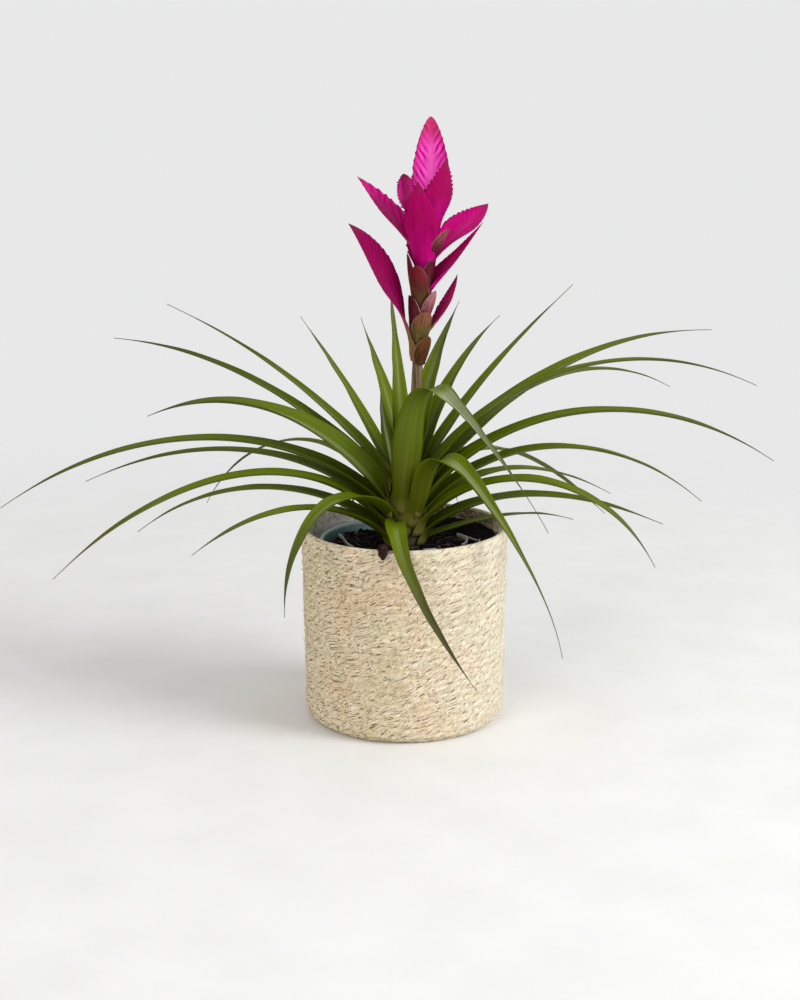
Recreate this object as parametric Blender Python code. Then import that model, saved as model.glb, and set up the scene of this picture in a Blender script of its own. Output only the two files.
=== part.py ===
"""A bromeliad in flower, in its nursery pot, inside a woven basket with a plastic liner.

The frame's origin is the middle of the basket's flat underside and +Z is up.
The side that the flower faces is -Y. Lengths in the tables are millimetres and
angles are degrees; everything built from them is in metres.
"""

import math
from typing import NamedTuple

import bmesh
import bpy
from mathutils import Matrix, Vector

MM = 0.001
GAP = 0.35 * MM  # clearance between pieces that touch on the real plant

# Basket, liner, nursery pot and soil
BASKET_SEGMENTS = 36
BASKET_HEIGHT = 134 * MM
BASKET_RADIUS = 70 * MM
BASKET_FOOT_RADIUS = 67.5 * MM
BASKET_WALL = 4 * MM
BASKET_CORNER = 8 * MM
LINER_THICKNESS = 0.5 * MM
LINER_TOP = 130.5 * MM
POT_TOP = 124.5 * MM
POT_RIM_RADIUS = 58 * MM
POT_TOP_RADIUS = 56.5 * MM
POT_FOOT_RADIUS = 43 * MM
POT_WALL = 1.3 * MM
POT_RIM_HEIGHT = 9 * MM
POT_DRAIN_HOLES = 6
POT_DRAIN_RADIUS = 4 * MM
POT_DRAIN_CIRCLE = 27 * MM
SOIL_EDGE = 117.5 * MM
SOIL_CROWN = 121 * MM
SOIL_WELL = 86 * MM

# Crown: the short stem that every leaf grows from, as (height, radius)
CROWN_PROFILE_MM = (
    (88, 6.0),
    (96, 9.5),
    (114, 12.0),
    (126, 13.0),
    (138, 12.4),
    (150, 10.4),
    (162, 8.0),
    (172, 6.0),
    (178, 5.2),
    (184, 4.8),
)
CROWN_SEGMENTS = 20

# Flower stalk: it bows towards +X low down, stands upright, then leans towards +X
STALK_FOOT = 184.4 * MM
STALK_TOP = 352 * MM
STALK_BOW = 8 * MM
STALK_BOW_SHARE = 0.27
STALK_LEAN = 10.5 * MM
STALK_FOOT_RADIUS = 4.4 * MM
STALK_TOP_RADIUS = 2.2 * MM
STALK_SEGMENTS = 12
STALK_RINGS = 12

LEAF_THICKNESS = 1.0 * MM
BRACT_THICKNESS = 0.8 * MM
SHEATH_THICKNESS = 0.7 * MM


class Blade(NamedTuple):
    """One leaf, bract or sheath, as a midline in its own upright plane.

    It leaves its support at root_z with pitch rise, and ends reach away from
    the axis at tip_z with pitch fall. azimuth is the way it grows, from +X
    towards +Y. It swings through swerve over the share turn_done of its
    length. A crest is a sharp fold on the way: its reach, its height, its
    pitch and how far the fold spreads, as a share of the stretch after it.
    twist is how far its face has turned about its own midline by its middle.
    """

    name: str
    azimuth: float
    root_z: float
    rise: float
    reach: float
    tip_z: float
    fall: float
    width: float
    swerve: float = 0.0
    turn_done: float = 1.0
    crest: tuple = ()
    twist: float = 0.0


# The rosette, from the lowest and outermost leaf to the innermost one
LEAVES = (
    Blade("leaf_01", 14, 124.5, 16, 121, 130, -20, 9),
    Blade("leaf_02", 208, 127, 42, 155, 132, -32, 14.5),
    Blade("leaf_03", 106, 126, 46, 150, 106, -50, 16),
    Blade("leaf_04", -6, 130, 38, 174, 139, -22, 19),
    Blade("leaf_05", 184, 131, 38, 180, 132, -38, 17),
    Blade("leaf_06", 76, 130, 42, 170, 108, -48, 17),
    Blade("leaf_07", 202, 135, 49, 241, 121, -42, 19),
    Blade("leaf_08", 98, 136, 44, 180, 108, -50, 19),
    Blade("leaf_09", 30, 136, 44, 172, 135, -30, 14),
    Blade("leaf_10", -17, 137, 48, 172, 118, -62, 21),
    Blade("leaf_11", 230, 139.5, 45, 119, 96, -92, 20, 0, 1, (62, 163, 0, 1.0)),
    Blade("leaf_12", -98, 137, 24, 122, 54, -54, 15, 31, 1.2, (52, 145.5, -4, 0.6)),
    Blade("leaf_13", 146, 141, 66, 174, 125, -60, 9, 0, 1, (90, 182, -6, 0.9)),
    Blade("leaf_14", 178, 141, 44, 217, 162, -26, 17),
    Blade("leaf_15", 8, 143, 48, 208, 143, -42, 17),
    Blade("leaf_16", -46, 143, 66, 130, 65, -78, 19, 7, 1, (38, 185.5, 0, 0.3)),
    Blade("leaf_17", 191, 147, 44, 268, 158, -34, 21),
    Blade("leaf_18", 194, 151.5, 56, 172, 217, -21, 18),
    Blade("leaf_19", 47, 144, 50, 226, 100, -36, 16),
    Blade("leaf_20", -3, 149.5, 53, 247, 181, -34, 23),
    Blade("leaf_21", 36, 152, 58, 236, 205, -28, 11),
    Blade("leaf_22", -92, 152, 85, 142, 157, -48, 28, 41, 0.45, (36, 232, -4, 0.18)),
    Blade("leaf_23", 19, 156, 50, 228, 256, -4, 27),
    Blade("leaf_24", 163, 157, 46, 212, 252, 2, 14),
    Blade("leaf_25", 5, 159, 60, 240, 226, -26, 15),
    Blade("leaf_26", 156, 165, 48, 182, 274, 19, 14),
    Blade("leaf_27", 124, 163, 46, 134, 260, 32, 11),
    Blade("leaf_28", 51, 166.5, 64, 107, 265, 24, 18),
    Blade("leaf_29", 37, 163, 54, 149, 286, 33, 13),
    Blade("leaf_30", 65, 171.5, 71, 91, 275, 37, 22),
    Blade("leaf_31", 113, 176, 72, 78, 265, 46, 15),
    Blade("leaf_32", 186, 171.5, 84, 16, 224, 90, 10, 0, 1, (), 70),
    Blade("leaf_33", 104, 181.5, 85, 46, 303, 68, 12),
)

# The flower head, from the lowest bract or sheath upwards
SHEATHS = (
    Blade("sheath_01", -38, 246, 76, 10, 264, 88, 15),
    Blade("sheath_02", 92, 255, 76, 9.5, 286, 88, 11),
    Blade("sheath_03", -92, 258, 80, 9, 283, 88, 16),
    Blade("sheath_04", 211, 270, 74, 7, 289, 90, 10),
    Blade("sheath_05", -108, 280, 82, 8, 308, 88, 13),
    Blade("sheath_06", -34, 274, 74, 9, 291, 88, 8),
    Blade("sheath_07", 171, 286, 74, 8.5, 312, 92, 9),
    Blade("sheath_08", -36, 313, 58, 16, 333, 64, 10),
)
BRACTS = (
    Blade("bract_left_lower", 200, 249, 86, 48, 339, 48, 26, 0, 1, (20, 296, 64, 1.0), -42),
    Blade("bract_right_lower", 19, 264, 72, 26.5, 303, 62, 15),
    Blade("bract_right_middle", -4, 290, 60, 39, 338, 52, 19),
    Blade("bract_back", 95, 293, 76, 27, 350, 62, 20),
    Blade("bract_front", -120, 299, 82, 16.5, 365, 88, 26),
    Blade("bract_left_upper", 152, 321.5, 50, 52, 366, 38, 24),
    Blade("bract_right_upper", 38, 319, 48, 52, 347, 38, 32, 0, 1, (), 18),
    Blade("bract_left_back", 146, 327, 84, 21, 371, 84, 30),
    Blade("bract_right_front", -48, 330, 85, 17.5, 377, 84, 27),
    Blade("bract_top", 92, 341, 86, 6, 406, 92, 25),
)


def clear_scene():
    for obj in list(bpy.data.objects):
        bpy.data.objects.remove(obj, do_unlink=True)


def material(name, colour, roughness, alpha=1.0):
    made = bpy.data.materials.new(name)
    made.use_nodes = True
    shader = made.node_tree.nodes["Principled BSDF"]
    shader.inputs["Base Color"].default_value = (*colour, 1.0)
    shader.inputs["Roughness"].default_value = roughness
    shader.inputs["Metallic"].default_value = 0.0
    shader.inputs["Alpha"].default_value = alpha
    made.diffuse_color = (*colour, alpha)
    return made


def add_object(name, mesh_data, finish, smooth_angle=50):
    """Turns a bmesh into an object whose faces all point out."""
    bmesh.ops.recalc_face_normals(mesh_data, faces=mesh_data.faces)
    if mesh_data.calc_volume(signed=True) < 0:
        bmesh.ops.reverse_faces(mesh_data, faces=mesh_data.faces)
    mesh = bpy.data.meshes.new(name)
    mesh_data.to_mesh(mesh)
    mesh_data.free()
    mesh.materials.append(finish)
    mesh.shade_smooth()
    mesh.set_sharp_from_angle(angle=math.radians(smooth_angle))
    obj = bpy.data.objects.new(name, mesh)
    bpy.context.scene.collection.objects.link(obj)
    return obj


def turned(profile, segments):
    """A solid turned about Z from (radius, height) points that start and end on the axis."""
    solid = bmesh.new()
    rings = []
    for radius, height in profile:
        if radius == 0:
            rings.append([solid.verts.new((0, 0, height))])
            continue
        ring = []
        for k in range(segments):
            angle = math.tau * k / segments
            ring.append(solid.verts.new((radius * math.cos(angle), radius * math.sin(angle), height)))
        rings.append(ring)
    for low, high in zip(rings, rings[1:]):
        join_rings(solid, low, high)
    return solid


def join_rings(solid, low, high):
    """Faces between two rings of equal count, or between a ring and a single point."""
    count = max(len(low), len(high))
    for k in range(count):
        after = (k + 1) % count
        if len(low) == 1:
            solid.faces.new((low[0], high[k], high[after]))
        elif len(high) == 1:
            solid.faces.new((low[k], high[0], low[after]))
        else:
            solid.faces.new((low[k], high[k], high[after], low[after]))


def loft(rings):
    """A solid through closed rings of points, with flat ends."""
    solid = bmesh.new()
    made = [[solid.verts.new(point) for point in ring] for ring in rings]
    for low, high in zip(made, made[1:]):
        join_rings(solid, low, high)
    solid.faces.new(made[0])
    solid.faces.new(reversed(made[-1]))
    return solid


def basket_inner_radius(height):
    """Inside radius of the basket's wall, which widens a little towards the rim."""
    share = height / BASKET_HEIGHT
    return BASKET_FOOT_RADIUS + (BASKET_RADIUS - BASKET_FOOT_RADIUS) * share - BASKET_WALL


def make_basket(finish):
    corner = BASKET_CORNER
    rim_round = BASKET_WALL / 2
    rim_middle = BASKET_RADIUS - rim_round
    profile = [(0, 0), (BASKET_FOOT_RADIUS - corner, 0)]
    for step in (1, 2, 3):
        angle = math.radians(30 * step)
        profile.append(
            (
                BASKET_FOOT_RADIUS - corner + corner * math.sin(angle),
                corner - corner * math.cos(angle),
            )
        )
    profile.append((BASKET_FOOT_RADIUS + 0.6 * (BASKET_RADIUS - BASKET_FOOT_RADIUS), 0.5 * BASKET_HEIGHT))
    for step in range(5):
        angle = math.radians(45 * step)
        profile.append(
            (
                rim_middle + rim_round * math.cos(angle),
                BASKET_HEIGHT - rim_round + rim_round * math.sin(angle),
            )
        )
    profile.append((basket_inner_radius(0.5 * BASKET_HEIGHT), 0.5 * BASKET_HEIGHT))
    profile.append((basket_inner_radius(corner), corner + BASKET_WALL / 2))
    profile.append((BASKET_FOOT_RADIUS - corner, BASKET_WALL))
    profile.append((0, BASKET_WALL))
    add_object("basket", turned(profile, BASKET_SEGMENTS), finish)


def make_liner(finish):
    """A thin plastic cup that follows the inside of the basket."""
    outer_foot = BASKET_FOOT_RADIUS - BASKET_CORNER - GAP
    floor_z = BASKET_WALL + GAP
    low_z = BASKET_CORNER + BASKET_WALL / 2 + GAP
    outer_low = basket_inner_radius(BASKET_CORNER) - 2 * GAP
    outer_top = basket_inner_radius(LINER_TOP) - 2 * GAP
    skin = LINER_THICKNESS
    profile = (
        (0, floor_z),
        (outer_foot, floor_z),
        (outer_low, low_z),
        (outer_top, LINER_TOP),
        (outer_top - skin, LINER_TOP),
        (outer_low - skin, low_z + skin),
        (outer_foot - skin, floor_z + skin),
        (0, floor_z + skin),
    )
    add_object("liner", turned(profile, BASKET_SEGMENTS), finish)


def pot_foot_z():
    return BASKET_WALL + LINER_THICKNESS + 2 * GAP


def pot_inner_radius(height):
    """Inside radius of the nursery pot at a height above its floor."""
    low = pot_foot_z()
    share = (height - low) / (POT_TOP - low)
    return POT_FOOT_RADIUS + (POT_TOP_RADIUS - POT_FOOT_RADIUS) * share - POT_WALL


def make_pot(finish):
    low = pot_foot_z()
    below_rim = POT_TOP - POT_RIM_HEIGHT
    profile = (
        (0, low),
        (POT_FOOT_RADIUS, low),
        (pot_inner_radius(below_rim) + POT_WALL, below_rim),
        (POT_RIM_RADIUS, below_rim),
        (POT_RIM_RADIUS, POT_TOP),
        (pot_inner_radius(POT_TOP), POT_TOP),
        (pot_inner_radius(low + POT_WALL), low + POT_WALL),
        (0, low + POT_WALL),
    )
    pot = add_object("nursery_pot", turned(profile, BASKET_SEGMENTS), finish)
    drill = bmesh.new()
    for k in range(POT_DRAIN_HOLES):
        angle = math.tau * (k + 0.5) / POT_DRAIN_HOLES
        place = (POT_DRAIN_CIRCLE * math.cos(angle), POT_DRAIN_CIRCLE * math.sin(angle), low)
        bmesh.ops.create_cone(
            drill,
            cap_ends=True,
            segments=12,
            radius1=POT_DRAIN_RADIUS,
            radius2=POT_DRAIN_RADIUS,
            depth=4 * POT_WALL,
            matrix=Matrix.Translation(place),
        )
    cutter = add_object("pot_drain_cutter", drill, finish)
    cutter.hide_render = True
    cutter.display_type = "WIRE"
    holes = pot.modifiers.new("drain holes", "BOOLEAN")
    holes.operation = "DIFFERENCE"
    holes.object = cutter


def crown_radius(height):
    """Radius of the crown at a height, read along its profile."""
    points = [(z * MM, r * MM) for z, r in CROWN_PROFILE_MM]
    for (low_z, low_r), (high_z, high_r) in zip(points, points[1:]):
        if height <= high_z:
            share = (height - low_z) / (high_z - low_z)
            return low_r + (high_r - low_r) * share
    return points[-1][1]


def make_soil(finish):
    """The root ball, which fills the pot and has a well where the crown stands."""
    floor_z = pot_foot_z() + POT_WALL + GAP
    well = crown_radius(SOIL_CROWN) + 2 * GAP
    profile = (
        (0, floor_z),
        (pot_inner_radius(floor_z) - 2 * GAP, floor_z),
        (pot_inner_radius(SOIL_EDGE) - 2 * GAP, SOIL_EDGE),
        (0.6 * POT_TOP_RADIUS, SOIL_EDGE + 0.7 * (SOIL_CROWN - SOIL_EDGE)),
        (well + 2 * MM, SOIL_CROWN),
        (well, SOIL_CROWN - MM),
        (well, SOIL_WELL),
        (0, SOIL_WELL),
    )
    add_object("potting_soil", turned(profile, BASKET_SEGMENTS), finish)


def make_crown(finish):
    low_z = CROWN_PROFILE_MM[0][0] * MM
    high_z = CROWN_PROFILE_MM[-1][0] * MM
    outline = [(r * MM, z * MM) for z, r in CROWN_PROFILE_MM]
    profile = [(0, low_z), *outline, (0, high_z)]
    add_object("crown", turned(profile, CROWN_SEGMENTS), finish)


def smoothstep(x):
    x = min(max(x, 0.0), 1.0)
    return x * x * (3 - 2 * x)


def stalk_centre(height):
    share = (height - STALK_FOOT) / (STALK_TOP - STALK_FOOT)
    bow = STALK_BOW * smoothstep(share / STALK_BOW_SHARE)
    upper_share = max(0.0, (share - STALK_BOW_SHARE) / (1 - STALK_BOW_SHARE))
    return Vector((bow + STALK_LEAN * upper_share**1.3, 0, height))


def stalk_radius(height):
    share = (height - STALK_FOOT) / (STALK_TOP - STALK_FOOT)
    return STALK_FOOT_RADIUS + (STALK_TOP_RADIUS - STALK_FOOT_RADIUS) * share


def make_stalk(finish):
    rings = []
    for step in range(STALK_RINGS):
        height = STALK_FOOT + (STALK_TOP - STALK_FOOT) * step / (STALK_RINGS - 1)
        centre = stalk_centre(height)
        radius = stalk_radius(height)
        ring = []
        for k in range(STALK_SEGMENTS):
            angle = math.tau * k / STALK_SEGMENTS
            ring.append(centre + Vector((radius * math.cos(angle), radius * math.sin(angle), 0)))
        rings.append(ring)
    add_object("flower_stalk", loft(rings), finish)


# Leaves that narrow faster than the rest: the power of each one's taper
TAPERS = {"leaf_12": 1.0, "leaf_16": 1.9, "leaf_22": 2.0, "leaf_11": 1.0, "leaf_28": 1.15, "leaf_29": 1.2}
TAPERS |= {"leaf_27": 1.1, "leaf_30": 1.1, "leaf_31": 1.2, "leaf_33": 1.4, "leaf_26": 1.25, "leaf_23": 1.1}
USUAL_TAPER = 0.85
BASE_ROLL = 15  # how far a leaf at the side of the crown turns its face to the front


def direction(pitch):
    angle = math.radians(pitch)
    return Vector((math.cos(angle), math.sin(angle)))


def hermite(start, start_pull, end, end_pull, t):
    return (
        start * (2 * t**3 - 3 * t**2 + 1)
        + start_pull * (t**3 - 2 * t**2 + t)
        + end * (3 * t**2 - 2 * t**3)
        + end_pull * (t**3 - t**2)
    )


def arc_pull(turn):
    """Pull at each end, per unit of chord, that bends a span of this turn like a circle's arc."""
    half = math.radians(max(abs(turn), 1.0)) / 2
    return 2 * math.tan(half / 2) / math.sin(half)


def midline(blade, root_reach, stations):
    """Evenly spaced (reach, height) points and pitches from a blade's root to its tip."""
    stops = [(Vector((root_reach, blade.root_z * MM)), blade.rise)]
    slack = [1.0]
    if blade.crest:
        stops.append((Vector(blade.crest[:2]) * MM, blade.crest[2]))
        slack.append(blade.crest[3])
    stops.append((Vector((blade.reach, blade.tip_z)) * MM, blade.fall))
    fine = []
    for number, ((start, rise), (end, fall)) in enumerate(zip(stops, stops[1:])):
        chord = (end - start).length * arc_pull(rise - fall)
        start_pull = direction(rise) * chord * slack[number]
        end_pull = direction(fall) * chord
        steps = 60
        for k in range(steps + (number == len(stops) - 2)):
            fine.append(hermite(start, start_pull, end, end_pull, k / steps))
    lengths = [0.0]
    for before, after in zip(fine, fine[1:]):
        lengths.append(lengths[-1] + (after - before).length)
    points = []
    at = 0
    for k in range(stations):
        wanted = lengths[-1] * k / (stations - 1)
        while at < len(fine) - 2 and lengths[at + 1] < wanted:
            at += 1
        share = (wanted - lengths[at]) / (lengths[at + 1] - lengths[at])
        slope = fine[at + 1] - fine[at]
        points.append((fine[at].lerp(fine[at + 1], min(share, 1.0)), math.atan2(slope.y, slope.x)))
    return points


def blade_rings(blade, centre, root_reach, thickness, stations, across, width_at, cup_at, roll=0.0):
    """Cross-section rings of a thin cupped blade, root to tip.

    width_at and cup_at give the width, as a share of the blade's own, and the
    angle that its cross-section bends through, at a share of its length. roll
    turns the lower half of an unfolded blade so that its front edge hangs lower.
    """
    rings = []
    for number, (point, pitch) in enumerate(midline(blade, root_reach, stations)):
        share = number / (stations - 1)
        azimuth = math.radians(blade.azimuth + blade.swerve * smoothstep(share / blade.turn_done))
        outward = Vector((math.cos(azimuth), math.sin(azimuth), 0))
        side = Vector((-math.sin(azimuth), math.cos(azimuth), 0))
        forward = outward * math.cos(pitch) + Vector((0, 0, math.sin(pitch)))
        upper = forward.cross(side).normalized()
        twist = blade.twist * smoothstep(2 * share)
        if not blade.crest:
            twist += roll * math.cos(math.radians(blade.azimuth)) * (1 - smoothstep(share / 0.45))
        twist = math.radians(twist)
        side, upper = (
            side * math.cos(twist) + upper * math.sin(twist),
            upper * math.cos(twist) - side * math.sin(twist),
        )
        middle = centre + outward * point.x + Vector((0, 0, point.y))
        width = blade.width * MM * width_at(share)
        bend = math.radians(cup_at(share))
        radius = width / bend
        over = []
        under = []
        for k in range(across):
            angle = bend * (k / (across - 1) - 0.5)
            spoke = side * math.sin(angle) - upper * math.cos(angle)
            hub = middle + upper * radius
            over.append(hub + spoke * (radius - thickness / 2))
            under.append(hub + spoke * (radius + thickness / 2))
        rings.append(over + under[::-1])
    return rings


def leaf_width(share, power):
    """Broadest beyond the crown, then a long taper, drawn out to a thread at the tip."""
    broadest = 0.2
    grown = 0.62 + 0.38 * smoothstep(share / broadest)
    taper = ((1 - share) / (1 - broadest)) ** power
    inner = 0.8 + 0.28 * smoothstep(share / 0.45)
    thread = 0.42 + 0.58 * smoothstep((1 - share) / 0.22)
    return max(min(grown, 1.0) * inner * thread if share < broadest else taper * inner * thread, 0.06)


def leaf_cup(share):
    return 85 - 35 * smoothstep(share / 0.3) + 25 * share


def bract_width(share):
    """Clasping foot, broad middle and a pointed tip."""
    broadest = 0.5
    if share < broadest:
        return 0.4 + 0.6 * smoothstep(share / broadest)
    return max((1 - ((share - broadest) / (1 - broadest)) ** 1.8), 0.07)


def bract_cup(share):
    return 125 - 75 * smoothstep(share / 0.6)


def sheath_width(share):
    return max(0.62 + 0.38 * smoothstep(share / 0.4) - 0.95 * smoothstep((share - 0.4) / 0.6), 0.08)


def sheath_cup(share):
    return 150 - 70 * share


def make_leaf(leaf, finish):
    reach = crown_radius(leaf.root_z * MM) + 1.3 * MM + LEAF_THICKNESS / 2
    stations = 16 if leaf.crest else 12
    power = TAPERS.get(leaf.name, USUAL_TAPER)

    def width_at(share):
        return leaf_width(share, power)

    rings = blade_rings(
        leaf, Vector((0, 0, 0)), reach, LEAF_THICKNESS, stations, 3, width_at, leaf_cup, BASE_ROLL
    )
    add_object(leaf.name, loft(rings), finish)


def make_flower_blade(blade, thickness, stations, across, width_at, cup_at, finish):
    """A bract or a sheath, which clasps the stalk where the stalk is at its root."""
    root = blade.root_z * MM
    centre = stalk_centre(root)
    centre.z = 0
    reach = stalk_radius(root) + 3 * GAP + thickness / 2
    rings = blade_rings(blade, centre, reach, thickness, stations, across, width_at, cup_at)
    add_object(blade.name, loft(rings), finish)


def make_bark_clump(finish):
    """A strand of bark that has washed over the rim at the front.

    Its route is (reach, height, half thickness) in one upright plane.
    """
    azimuth = math.radians(-101)
    outward = Vector((math.cos(azimuth), math.sin(azimuth), 0))
    side = Vector((-outward.y, outward.x, 0))
    flatness = 2.0
    route_mm = (
        (51, 122, 0.8),
        (57, 128.5, 1.3),
        (64, 135, 1.5),
        (68.5, 136.6, 1.6),
        (71.9, 134.6, 1.6),
        (72.7, 131.6, 1.4),
        (72.6, 128.4, 0.7),
    )
    points = [outward * (reach * MM) + Vector((0, 0, height * MM)) for reach, height, _ in route_mm]
    rings = []
    for number, (_, _, half_mm) in enumerate(route_mm):
        before = points[max(number - 1, 0)]
        after = points[min(number + 1, len(points) - 1)]
        up = (after - before).cross(side).normalized() * half_mm * MM
        ring = []
        for k in range(6):
            angle = math.tau * k / 6
            spoke = side * (flatness * half_mm * MM * math.cos(angle)) + up * math.sin(angle)
            ring.append(points[number] + spoke)
        rings.append(ring)
    add_object("bark_clump", loft(rings), finish)


def make_film_curl(name, route_mm, finish):
    """A clear strip of the plant's packing film that stands out of the soil on its edge."""
    points = [Vector(place) * MM for place in route_mm]
    half_height = 1.1 * MM
    half_skin = 0.25 * MM
    rings = []
    for number, point in enumerate(points):
        before = points[max(number - 1, 0)]
        after = points[min(number + 1, len(points) - 1)]
        along = (after - before).normalized()
        across = along.cross(Vector((0, 0, 1))).normalized() * half_skin
        up = Vector((0, 0, half_height))
        rings.append([point - across - up, point + across - up, point + across + up, point - across + up])
    add_object(name, loft(rings), finish)


def build():
    clear_scene()
    straw = material("woven_straw", (0.72, 0.62, 0.46), 0.85)
    film = material("clear_film", (0.92, 0.92, 0.90), 0.25, 0.4)
    pot_blue = material("pot_plastic", (0.16, 0.28, 0.30), 0.45)
    peat = material("peat", (0.018, 0.012, 0.009), 0.95)
    bark = material("bark", (0.045, 0.020, 0.010), 0.9)
    green = material("leaf_green", (0.10, 0.17, 0.015), 0.4)
    pale_green = material("crown_green", (0.20, 0.22, 0.06), 0.55)
    stem = material("stalk_brown", (0.16, 0.10, 0.075), 0.6)
    olive = material("sheath_olive", (0.22, 0.10, 0.05), 0.55)
    magenta = material("bract_magenta", (0.52, 0.005, 0.17), 0.45)
    make_basket(straw)
    make_liner(film)
    make_pot(pot_blue)
    make_soil(peat)
    make_bark_clump(bark)
    make_film_curl("film_curl_left", ((-44, 8, 124), (-40, -2, 122), (-35, -14, 121)), film)
    make_film_curl("film_curl_right", ((36, 12, 123), (45, 2, 122), (53, -8, 121)), film)
    make_crown(pale_green)
    make_stalk(stem)
    for leaf in LEAVES:
        make_leaf(leaf, green)
    for sheath in SHEATHS:
        make_flower_blade(sheath, SHEATH_THICKNESS, 7, 5, sheath_width, sheath_cup, olive)
    for bract in BRACTS:
        make_flower_blade(bract, BRACT_THICKNESS, 9, 5, bract_width, bract_cup, magenta)


build()
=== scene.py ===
"""A bromeliad in flower, standing in its nursery pot inside a basket of coiled straw rope.

Lengths are millimetres until a piece is made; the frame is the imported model's own.
"""

from math import atan2, cos, pi, radians, sin, tan, tau
from typing import NamedTuple

import bpy
import numpy as np
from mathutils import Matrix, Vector, noise


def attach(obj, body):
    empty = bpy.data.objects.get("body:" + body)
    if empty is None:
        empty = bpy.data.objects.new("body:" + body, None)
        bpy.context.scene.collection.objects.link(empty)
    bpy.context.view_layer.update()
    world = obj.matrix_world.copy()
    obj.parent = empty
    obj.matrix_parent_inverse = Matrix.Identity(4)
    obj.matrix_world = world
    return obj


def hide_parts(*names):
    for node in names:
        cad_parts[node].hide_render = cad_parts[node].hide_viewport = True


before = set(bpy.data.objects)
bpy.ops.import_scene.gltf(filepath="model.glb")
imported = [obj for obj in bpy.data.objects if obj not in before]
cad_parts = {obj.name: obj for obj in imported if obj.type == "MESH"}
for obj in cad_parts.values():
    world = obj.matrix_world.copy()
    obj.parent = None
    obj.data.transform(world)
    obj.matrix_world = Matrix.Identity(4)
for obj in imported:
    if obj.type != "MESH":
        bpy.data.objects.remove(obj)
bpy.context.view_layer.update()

# ---- Basket ---------------------------------------------------------------------------------
# A cover basket of raw cream straw. The straw is twisted into a rope, coiled from the foot up
# and sewn to the turn below. The last turn is bound smooth, and wisps of straw stand off it all.

MM = 0.001
BASKET_HEIGHT = 134
BASKET_RADIUS = 69.9
BASKET_FOOT_RADIUS = 67.4
BASKET_WALL = 4
BASKET_CORNER = 8
BASKET_ROUND = 512  # points in each turn
ROPE = 5.6  # height of one turn of the rope
TWISTS_ROUND = 40  # twists of the rope in one turn of the basket
TWIST_RISE = 6.1  # how far up the wall a twist's seam comes back to the same place
ROPE_SWELL = 0.5  # how far the rope bulges between two joints
TWIST_SWELL = 0.45  # how far each twist bulges between its seams
ROPE_FULLNESS = 2.4  # how flat-topped those bulges are
TWIST_FULLNESS = 2.0
BOUND_RIM = 5  # how far the smooth binding at the rim runs down the wall, outside and in
BOUND_FADE = 3  # length of wall over which the rope gives way to the binding
BOUND_FLATNESS = 0.8  # how much of the rope's relief the binding hides
INSIDE_FADE = 4  # length of wall past the rim over which the rope flattens
INSIDE_FLATNESS = 0.75
INSIDE_SINK = 0.25
RELIEF_MIDDLE = 0.75  # the wall's own surface lies this far below the top of the rope
# Lengths over which the coil, its twist, its lumps, the wall and the straws stray, and how far:
# the first two as shares of a turn of rope and of a twist, the rest in millimetres
STRAYS = ((16, 0.5), (13, 0.6), (5, 0.42), (34, 0.45), (2.5, 0.36))


def smoothstep(x):
    x = np.clip(x, 0, 1)
    return x * x * (3 - 2 * x)


def drift(points, size, seed):
    """Smooth random values from -1 to 1 over points, changing over a length of size."""
    offset = Vector((seed * 17.3, seed * 5.9, seed * 11.1))
    return np.array([noise.noise(Vector(p) + offset) for p in np.asarray(points) / size])


def paint(red, green, blue):
    """A colour as it looks, 0 to 255 a channel, as the shader wants it."""
    looks = np.array([red, green, blue]) / 255
    light = np.where(looks <= 0.04045, looks / 12.92, ((looks + 0.055) / 1.055) ** 2.4)
    return (*light.tolist(), 1.0)


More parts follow.
